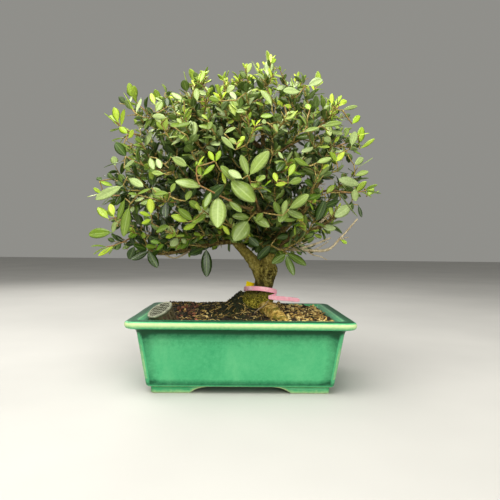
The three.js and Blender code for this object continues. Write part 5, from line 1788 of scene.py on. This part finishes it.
def makeSprays():
    numbers = {"spray": 0, "placed": 0, "shoot": 0}
    nodeNames = {"spray": "leafy_spray_", "placed": "front_spray_", "shoot": "new_shoot_"}
    pieceNames = {"spray": "leafySpray", "placed": "frontSpray", "shoot": "newShoot"}
    for spray in sprays:
        kind = spray["kind"]
        numbers[kind] += 1
        rng = np.random.default_rng(300 + 7 * numbers[kind] + len(kind))
        young = 1.0 if kind == "shoot" else 0.0
        tipAge = young if kind != "spray" else rng.choice([0.0, 0.35, 0.7, 1.0])
        heap = Heap(leafMarks)
        tone = rng.uniform(0.3, 0.8)
        leaves, finer = [], []
        for leaf in spray["leaves"]:
            # sprays whose tip stands higher than 270 get a higher tone, as painted light from above
            own = (
                0.71 + rng.normal(0, 0.07) if kind == "placed"
                else tone + 0.2 * (spray["tip"][2] > 270) + rng.normal(0, 0.24)
            )
            age = young * rng.uniform(0.7, 1.0) if kind != "spray" else abs(rng.normal(0, 0.08))
            leaves.append(leaf | {"tone": float(np.clip(own, 0, 1)), "age": min(age, 1.0)})
        # the three low front sprays that hang under the crown get darker tones, as painted shade
        if kind == "placed" and numbers[kind] > 4:
            leaves = [leaf | {"tone": 0.46 if numbers[kind] == 5 else 0.14} for leaf in leaves]
        for stem in spray["stems"]:
            if stem["main"]:
                path = bent(spray["foot"], spray["through"], spray["tip"], 10)
            else:
                start, end = stem["points"]
                path = bent(start, (start + end) / 2 + unit(np.cross(end - start, up)) * 0.8, end, 6)
            radii = taper(stem["radii"][0], stem["radii"][-1], len(path))
            shape, faces = tube(path, radii, 7, knots=0.1)
            fresh = 1.0 if kind == "placed" and numbers[kind] < 3 else max(young, tipAge * 0.6)
            heap.add(shape, faces, 2, age=fresh)
            if kind != "placed":
                more = leavesAlong(
                    path, rng, spray["outward"], tipAge, 5.5 if young else 4.8, 22, 13.5 if young else 15,
                    tone
                )
                finer += outOfTheWay(more[2 if stem["main"] else 1:])
        addLeaves(heap, leaves, rng, "close")
        addLeaves(heap, finer, rng)
        name = f"{numbers[kind]:02d}"
        slot = "young_leaf" if kind == "shoot" else "leaf"
        heap.piece(pieceNames[kind] + name, leafFinishes, slot, [nodeNames[kind] + name])


makeSprays()
print("sprays made")

# The rest of the crown's twigs: each grows from the nearest wood to its own place in the crown
filling = {
    "seed": 77,
    # for each layer from the outside in: twigs, nearest and furthest reach, tone (lower inside, as painted
    # shade) and leaf grade
    "layers": [
        (390, 0.92, 1.03, 0.60, "plain"), (240, 0.72, 0.9, 0.14, "far"), (210, 0.44, 0.7, 0.0, "far")
    ],
    "freshShares": [0.42, 0.16, 0.16, 0.26],
    "tipStandOut": 11,
    "longest": 75,
    "pieces": 8,
    "base": (10, 0, 150),
    "lowest": 146,
    "nearest": 16,
    "nearCost": 1000,
    "turnCost": 20,
}


def crownReach(heading):
    flatReach = outlineReach(heading[0], heading[2])
    flat = heading[0] ** 2 + heading[2] ** 2
    return 1 / math.sqrt(flat / flatReach**2 + heading[1] ** 2 / crown["depthReach"] ** 2)


def addStandOut(places, rng):
    # each grows on a short twig of its own from the nearest wood, with a small leaf or two by its foot
    heap = Heap(leafMarks)
    toEye = unit(vec(*camera["place"]) - crownMiddle)
    kept, companions = [], []
    taken = np.concatenate([leaf["samples"] for leaf in standingLeaves])
    for kind, rows in standOutLeaves.items():
        tone, age = standOutTones[kind]
        for row in rows:
            foot, tip, width = vec(*row[:3]), vec(*row[3:6]), row[6]
            middles = foot + (tip - foot) * np.array([[0.1], [0.3], [0.5], [0.7], [0.9]])
            for _ in range(7):
                # a leaf that would cut through another stands a little further back
                if np.linalg.norm(taken[:, None] - middles[None], axis=2).min() > 3.6:
                    break
                foot, tip, middles = foot + vec(0, 4, 0), tip + vec(0, 4, 0), middles + vec(0, 4, 0)
            taken = np.concatenate([taken, middles])
            spots = np.array(places)
            start = spots[int(np.argmin(np.linalg.norm(spots - foot, axis=1)))]
            length = float(np.linalg.norm(foot - start))
            through = (start + foot) / 2 + rng.normal(0, 0.06 * length, 3) + vec(0, 0.1 * length, 0)
            path = bent(start, through, foot, 6)
            shape, faces = tube(path, taper(0.6 + 0.012 * length, 0.5, 7), 6, knots=0.12)
            heap.add(shape, faces, 2, age=age * np.repeat(np.linspace(0, 1, 7), 6))
            heading = unit(tip - foot)
            facing = (
                np.cross(heading, toEye) + toEye * 0.12 if width < 0
                else toEye + up * 0.25 + rng.normal(0, 0.2, 3)
            )
            size = float(np.linalg.norm(tip - foot))
            own = float(np.clip(tone + rng.normal(0, 0.2 if kind == "lime" else 0.07), 0, 1))
            kept.append(
                looseLeaf(foot, heading, facing, size, abs(width), rng.uniform(-0.02, 0.08), own, age)
            )
            if length > 9:
                more = leavesAlong(
                    path[:-1], rng, unit(foot - crownMiddle), 0.0, 5, min(length - 5, 22), 12.5, 0.3
                )
                companions += outOfTheWay(more)
            places += path[2:]
    addLeaves(heap, kept, rng, "close")
    addLeaves(heap, companions, rng)
    heap.piece("standOutTwigs", leafFinishes, "leaf")
    return len(kept) + len(companions)


def addTwiglets(heap, path, rng):
    # short bare spurs off a twig, where leaves have dropped
    for k in rng.integers(1, len(path) - 1, 3):
        along = unit(path[k + 1] - path[k - 1])
        side = unit(np.cross(along, rng.normal(size=3)))
        end = path[k] + (side + along * 0.6) * rng.uniform(5, 11)
        knee = (path[k] + end) / 2 + rng.normal(0, 0.8, 3)
        shape, faces = tube([path[k], knee, end], [0.6, 0.45, 0.32], 4)
        heap.add(shape, faces, 2)


def fillCrown():
    rng = np.random.default_rng(filling["seed"])
    base = vec(*filling["base"])
    nodes = []
    for points, first, last in tree["branches"].values():
        nodes += [(p, max(first, last)) for p in alongCurve(points, 20)[6:]]
    for spray in sprays:
        if "branchLine" in spray:
            start, through, end, _ = spray["branchLine"]
            nodes += [(p, 1.2) for p in bent(start, through, end, 6)[1:]]
        nodes += [(p, 0.9) for p in bent(spray["foot"], spray["through"], spray["tip"], 4)]
    places = [p for p, _ in nodes]
    tips = []
    for layer, (count, low, high, _, _) in enumerate(filling["layers"]):
        for i in range(count):
            z = 1 - 2 * (i + 0.5) / count
            turn = i * goldenAngle + count
            flat = math.sqrt(1 - z * z)
            heading = unit(vec(flat * math.cos(turn), flat * math.sin(turn), z) + rng.normal(0, 0.09, 3))
            reach = crownReach(heading) * rng.uniform(low, high) - filling["tipStandOut"]
            tip = crownMiddle + heading * reach
            if tip[2] < filling["lowest"]:
                continue
            tips.append((tip, layer))
    tips.sort(key=lambda item: float(np.linalg.norm(item[0] - base)))
    heaps = [Heap(leafMarks) for _ in range(filling["pieces"])]
    total = 0
    for number, (tip, layer) in enumerate(tips):
        _, _, _, shade, grade = filling["layers"][layer]
        spots = np.array(places)
        run = tip - spots
        distance = np.linalg.norm(run, axis=1)
        away = spots - base
        away /= np.linalg.norm(away, axis=1)[:, None] + 1e-9
        turn = 1 - np.einsum("ij,ij->i", run, away) / (distance + 1e-9)
        cost = distance + filling["turnCost"] * turn + filling["nearCost"] * (distance < filling["nearest"])
        best = int(np.argmin(cost))
        start = spots[best]
        if distance[best] > filling["longest"]:
            continue
        outward = unit(tip - crownMiddle)
        rise = unit(outward * 0.6 + up * 0.5)
        through = (start + tip) / 2 - rise * 0.12 * distance[best] + rng.normal(0, 0.05 * distance[best], 3)
        path = bent(start, through, tip, 8)
        young = rng.choice([0.0, 0.4, 0.75, 1.0], p=filling["freshShares"]) if layer == 0 else 0.0
        high = float(np.clip((tip[2] - 235) / 75, -1, 1))
        if layer == 0 and rng.uniform() < 0.55 * high:
            young = 0.85
        thick = 0.75 + 0.012 * distance[best]
        shape, faces = tube(path, taper(thick, 0.5, len(path)), 5, knots=0.12)
        heap = heaps[number * filling["pieces"] // len(tips)]
        # the tone rises towards the crown's top as painted light, and each layer's tone is lower inside as
        # painted shade
        tone = float(np.clip(rng.normal(shade + 0.46 * high, 0.27), 0, 1))
        finer = 1 - 0.2 * max(high, 0)
        size = (13.5 if young > 0.6 else 15.5) * finer
        wanted = leavesAlong(path, rng, outward, young, 4.1 * finer, 34, size, tone)
        leaves = outOfTheWay(wanted)
        if len(leaves) < 0.6 * len(wanted):
            continue
        total += len(leaves)
        fresh = np.clip(np.arange(len(path)) / (len(path) - 1) * 2 - 1, 0, 1)
        heap.add(shape, faces, 2, age=np.repeat(young * fresh, 5))
        addLeaves(heap, leaves, rng, grade)
        if layer < 2:
            addTwiglets(heap, path, rng)
        places += path[2:]
    for line in tree["bareTwigs"]:
        places += alongCurve(line[0], 20)
    total += addStandOut(places, rng)
    for number, heap in enumerate(heaps):
        heap.piece(f"crownTwigs{number + 1:02d}", leafFinishes, "leaf")
    print("crown filled with", total, "leaves")


fillCrown()

# The pink label: a band looped round the trunk, with its tail laid out to the right
label = {
    "middle": (22.1, 0, 100.9),
    "radius": 19.2,
    "height": 5.1,
    "thickness": 1.1,
    "lean": 0.085,
    "frontLift": 0.17,
    "fold": [(40.6, -5, 99.2), (38.4, -11.5, 97), (34.4, -16, 95.7), (31.4, -17.9, 94.9)],
    "foldHeights": [3, 3.4, 3.6, 3.6],
    "tail": [
        (30.6, -18.2, 94.8), (37, -17.4, 94.1), (50, -14, 92.8), (63.4, -10.5, 91.3), (66.6, -10, 90.9)
    ],
    "tailHeights": [4.0, 5.0, 5.0, 4.6, 2.4],
}


def strapSection(height, thickness):
    # half height, half thickness and an eased corner
    h, t, e = height / 2, thickness / 2, thickness * 0.3
    leftHalf = [(-t, -h + e), (-t, h - e), (-t + e, h)]
    return [*leftHalf, (t - e, h), (t, h - e), (t, -h + e), (t - e, -h), (-t + e, -h)]


def makeLabel():
    heap = Heap()
    middle = vec(*label["middle"])
    rings = []
    turns = 96
    radius = label["radius"] - label["thickness"] / 2
    c, s = math.cos(label["lean"]), math.sin(label["lean"])
    for k in range(turns):
        angle = 2 * math.pi * k / turns
        for out, rise in strapSection(label["height"], label["thickness"]):
            x = (radius + out) * math.cos(angle)
            y = (radius + out) * math.sin(angle)
            z = rise + 0.15 * math.sin(3 * angle) - y * label["frontLift"]
            rings.append((x * c + z * s + middle[0], y + middle[1], z * c - x * s + middle[2]))
    rows = bandFaces(turns + 1, 8) % (turns * 8)
    heap.add(rings, [rows])
    for part in ("fold", "tail"):
        path = alongCurve(label[part], 30)
        known = label[part + "Heights"]
        heights = np.interp(np.linspace(0, len(known) - 1, 31), range(len(known)), known)
        rings = []
        for i, spot in enumerate(path):
            ahead = path[min(i + 1, 30)] - path[max(i - 1, 0)]
            across = unit(vec(-ahead[1], ahead[0], 0))
            for out, rise in strapSection(heights[i], label["thickness"]):
                rings.append(spot + across * -out + up * rise)
        heap.add(rings, [bandFaces(31, 8), fanFaces(0, 8, True), fanFaces(240, 8, False)])
    finish = Finish("pinkLabelFilm")
    cloud = finish.clouds(130, 4)
    color = finish.ramp(
        cloud, [(0.3, (0.96, 0.34, 0.46)), (0.5, (1.0, 0.47, 0.58)), (0.68, (1.0, 0.70, 0.76))]
    )
    grit = finish.span(finish.clouds(500, 4, 0.7), 0.60, 0.72, 0, 0.55)
    color = finish.mix(grit, color, (0.10, 0.05, 0.04))
    material = finish.set(color=color, rough=0.38, normal=finish.bump(cloud, 0.0004, 0.4))
    heap.piece("labelBand", [material], "pink_label", ["label_band"], sharpAngle=40)


# The yellow tab behind the band
tab = {
    "corners": [(4.4, 100.4), (13, 99.9), (15.8, 108.6), (6.2, 111.3)],
    "depth": 7,
    "thickness": 0.8,
    "ease": 0.35,
}


def makeTab():
    heap = Heap()
    outline = np.array(tab["corners"])
    middle = outline.mean(0)
    rings = []
    for shrink, y in ((tab["ease"], 0.0), (0, 0.3), (0, 0.7), (tab["ease"], 1.0)):
        for k, corner in enumerate(outline):
            for other in (outline[k - 1], outline[(k + 1) % 4]):
                spot = corner + unit(other - corner) * 0.45
                spot = spot + unit(middle - spot) * shrink
                rings.append((spot[0], tab["depth"] - tab["thickness"] * y, spot[1]))
    heap.add(rings, [bandFaces(4, 8), fanFaces(0, 8, True), fanFaces(24, 8, False)])
    finish = Finish("yellowTabFilm")
    cloud = finish.clouds(260, 3)
    color = finish.ramp(cloud, [(0.3, (1.0, 0.66, 0.0)), (0.6, (1.0, 0.78, 0.002))])
    material = finish.set(color=color, rough=0.6, normal=finish.bump(cloud, 0.0003, 0.4), shine=0.1)
    heap.piece("yellowTab", [material], "yellow_tab", ["yellow_tab"], sharpAngle=40)


makeLabel()
makeTab()


# The fertiliser basket: a slotted cup, a lattice lid, and the cake inside
basketSide = unit(np.cross(up, basketLean))
basketAcross = np.cross(basketLean, basketSide)


def fromBasket(points):
    # from the basket's own frame, with its axis up and its lid at the origin
    points = np.asarray(points, float).reshape(-1, 3)
    x, y, z = points[:, :1], points[:, 1:2], points[:, 2:]
    return basketMiddle + x * basketSide + y * basketAcross + z * basketLean


def basketFinish(name, stops, dirt):
    finish = Finish(name)
    cloud = finish.clouds(170, 4)
    color = finish.ramp(cloud, stops)
    dust = finish.span(finish.clouds(600, 4), 0.5, 0.75, 0, dirt)
    color = finish.mix(dust, color, (0.050, 0.036, 0.016))
    # the lid's bar undersides and the sides of its openings are darkened as painted shade
    color = finish.mix(finish.span(finish.mark("sunk"), 0.15, 0.6), color, (0.018, 0.016, 0.009))
    return finish.set(color=color, rough=0.55, normal=finish.bump(cloud, 0.0004, 0.5))


lidFinish = basketFinish(
    "greyPlastic", [(0.3, (0.11, 0.118, 0.072)), (0.5, (0.22, 0.230, 0.155)), (0.75, (0.46, 0.47, 0.34))],
    0.6
)
cupFinish = basketFinish(
    "earthyGreyPlastic", [(0.3, (0.050, 0.042, 0.018)), (0.6, (0.14, 0.115, 0.058))], 0.8
)


def makeLid():
    # square openings between straight bars, inside a round rim with an eased edge
    heap = Heap(["sunk"])
    pitch, hole, reach = basket["latticePitch"], basket["latticeHole"], basket["latticeReach"]
    half = basket["lidThickness"] / 2
    lines = [-20.0]
    count = int(reach / pitch)
    for k in range(-count, count + 1):
        lines += [k * pitch - hole / 2, k * pitch + hole / 2]
    lines.append(20.0)
    turns = 72
    edge = [(math.cos(2 * math.pi * k / turns), math.sin(2 * math.pi * k / turns)) for k in range(turns)]
    outer = basket["lidRadius"]
    rim = [(reach, half), (reach + 0.5, half + 0.35), (outer - 0.6, half + 0.35), (outer, half - 0.2)]
    rim += [(outer, -half + 0.4), (outer - 0.5, -half), (reach, -half)]
    rings = [(r * x, r * y, z) for r, z in rim for x, y in edge]
    heap.add(fromBasket(rings), [bandFaces(len(rim), turns)[:, ::-1]])
    inner = [(reach * x, reach * y, z) for z in (-half, half) for x, y in edge]
    heap.add(fromBasket(inner), [bandFaces(2, turns)[:, ::-1]], sunk=np.repeat([1.0, 0.3], turns))
    width = pitch - hole
    for k in range(-count - 1, count + 1):
        place = (k + 0.5) * pitch
        run = math.sqrt(max(reach**2 - place**2, 0))
        if run < 1.5:
            continue
        for swap in (False, True):
            section = [(-width / 2, -half + 0.1), (width / 2, -half + 0.1), (width / 2, half - 0.35)]
            section += [(width / 4, half - 0.05), (-width / 4, half - 0.05), (-width / 2, half - 0.35)]
            lift = -0.04 if swap else 0.0
            bar = []
            for end in (-run - 0.4, run + 0.4):
                bar += [
                    (end, place + s, z + lift) if swap else (place + s, end, z + lift) for s, z in section
                ]
            faces = [bandFaces(2, 6), fanFaces(0, 6, True), fanFaces(6, 6, False)]
            heap.add(
                fromBasket(bar), [face if swap else face[:, ::-1] for face in faces],
                sunk=[1, 1, 0.35, 0, 0, 0.35] * 2
            )
    heap.piece("basketLid", [lidFinish], "basket", ["basket_lid"], smooth=False)


def makeCup():
    # a tapered cup, its wall in upright staves with a band above, one at mid height and one below
    heap = Heap(["sunk"])
    turns, slots = 144, basket["slots"]
    low, high = -basket["height"], basket["mouth"]
    levels = [low, low + 2.4, low + 9.0, low + 10.2, high - 2.2, high]

    def radiusAt(z):
        widening = basket["mouthRadius"] - basket["footRadius"]
        return basket["footRadius"] + widening * (z - low) / (high - low)

    def block(first, last, bottom, top):
        steps = max(1, last - first)
        rows = []
        for k in range(steps + 1):
            angle = 2 * math.pi * (first + k) / turns
            c, s = math.cos(angle), math.sin(angle)
            for z, shrink in ((bottom, 0), (top, 0), (top, basket["wall"]), (bottom, basket["wall"])):
                r = radiusAt(z) - shrink
                rows.append((r * c, r * s, z))
        whole = steps == turns
        faces = [bandFaces(steps + 1, 4)]
        if not whole:
            faces += [fanFaces(0, 4, True), fanFaces(steps * 4, 4, False)]
        heap.add(fromBasket(rows), [face[:, ::-1] for face in faces])

    for k, (bottom, top) in enumerate(zip(levels, levels[1:])):
        if k % 2 == 0:
            block(0, turns, bottom, top)
        else:
            for stave in range(slots):
                start = stave * turns // slots
                block(start, start + 4, bottom - 0.05, top + 0.05)
    disc = []
    for z in (low + 0.1, low + 1.4):
        for k in range(48):
            angle = 2 * math.pi * k / 48
            disc.append((radiusAt(z) * math.cos(angle) * 0.99, radiusAt(z) * math.sin(angle) * 0.99, z))
    heap.add(fromBasket(disc), [bandFaces(2, 48), fanFaces(0, 48, True), fanFaces(48, 48, False)])
    heap.piece("basketCup", [cupFinish], "basket", ["basket_cup"], smooth=False)


def makeCake():
    heap = Heap()
    turns = 40
    rings = []
    for tilt in range(-80, 81, 16):
        r = basket["cakeRadius"] * math.cos(math.radians(tilt))
        z = basket["cakeMiddle"] + basket["cakeRise"] * math.sin(math.radians(tilt))
        for k in range(turns):
            angle = 2 * math.pi * k / turns
            reach = r * (1 + 0.04 * roughness3((10 * math.cos(angle), 10 * math.sin(angle), z), 3))
            rings.append((reach * math.cos(angle), reach * math.sin(angle), z))
    heap.add(
        fromBasket(rings),
        [bandFaces(11, turns), fanFaces(0, turns, True), fanFaces(10 * turns, turns, False)]
    )
    finish = Finish("brownFertiliser")
    grain = finish.clouds(500, 5)
    color = finish.ramp(grain, [(0.3, (0.045, 0.028, 0.014)), (0.7, (0.17, 0.11, 0.06))])
    material = finish.set(color=color, rough=0.95, normal=finish.bump(grain, 0.001, 0.8))
    heap.piece("fertiliserCake", [material], "fertiliser", ["fertiliser_cake"])


makeLid()
makeCup()
makeCake()


# The drains' screens and wires keep their form and get their finishes
def finishDrains():
    screen = Finish("darkScreenPlastic")
    grain = screen.clouds(400, 4)
    tone = screen.ramp(grain, [(0.3, (0.012, 0.012, 0.013)), (0.7, (0.045, 0.045, 0.048))])
    screenMaterial = screen.set(color=tone, rough=0.6, normal=screen.bump(grain, 0.0002, 0.5))
    wire = Finish("dullAluminiumWire")
    grain = wire.clouds(800, 4)
    tone = wire.ramp(grain, [(0.3, (0.42, 0.42, 0.42)), (0.7, (0.66, 0.66, 0.65))])
    wireMaterial = wire.set(color=tone, rough=wire.span(grain, 0.3, 0.7, 0.3, 0.5), metal=1.0)
    for name, material, slot in (
        ("drain_screen_left", screenMaterial, "screen"),
        ("drain_screen_right", screenMaterial, "screen"),
        ("screen_wire_left", wireMaterial, "wire"),
        ("screen_wire_right", wireMaterial, "wire"),
    ):
        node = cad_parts[name]
        node.data.materials.clear()
        node.data.materials.append(material)


finishDrains()
print("label, tab, basket and drains made")
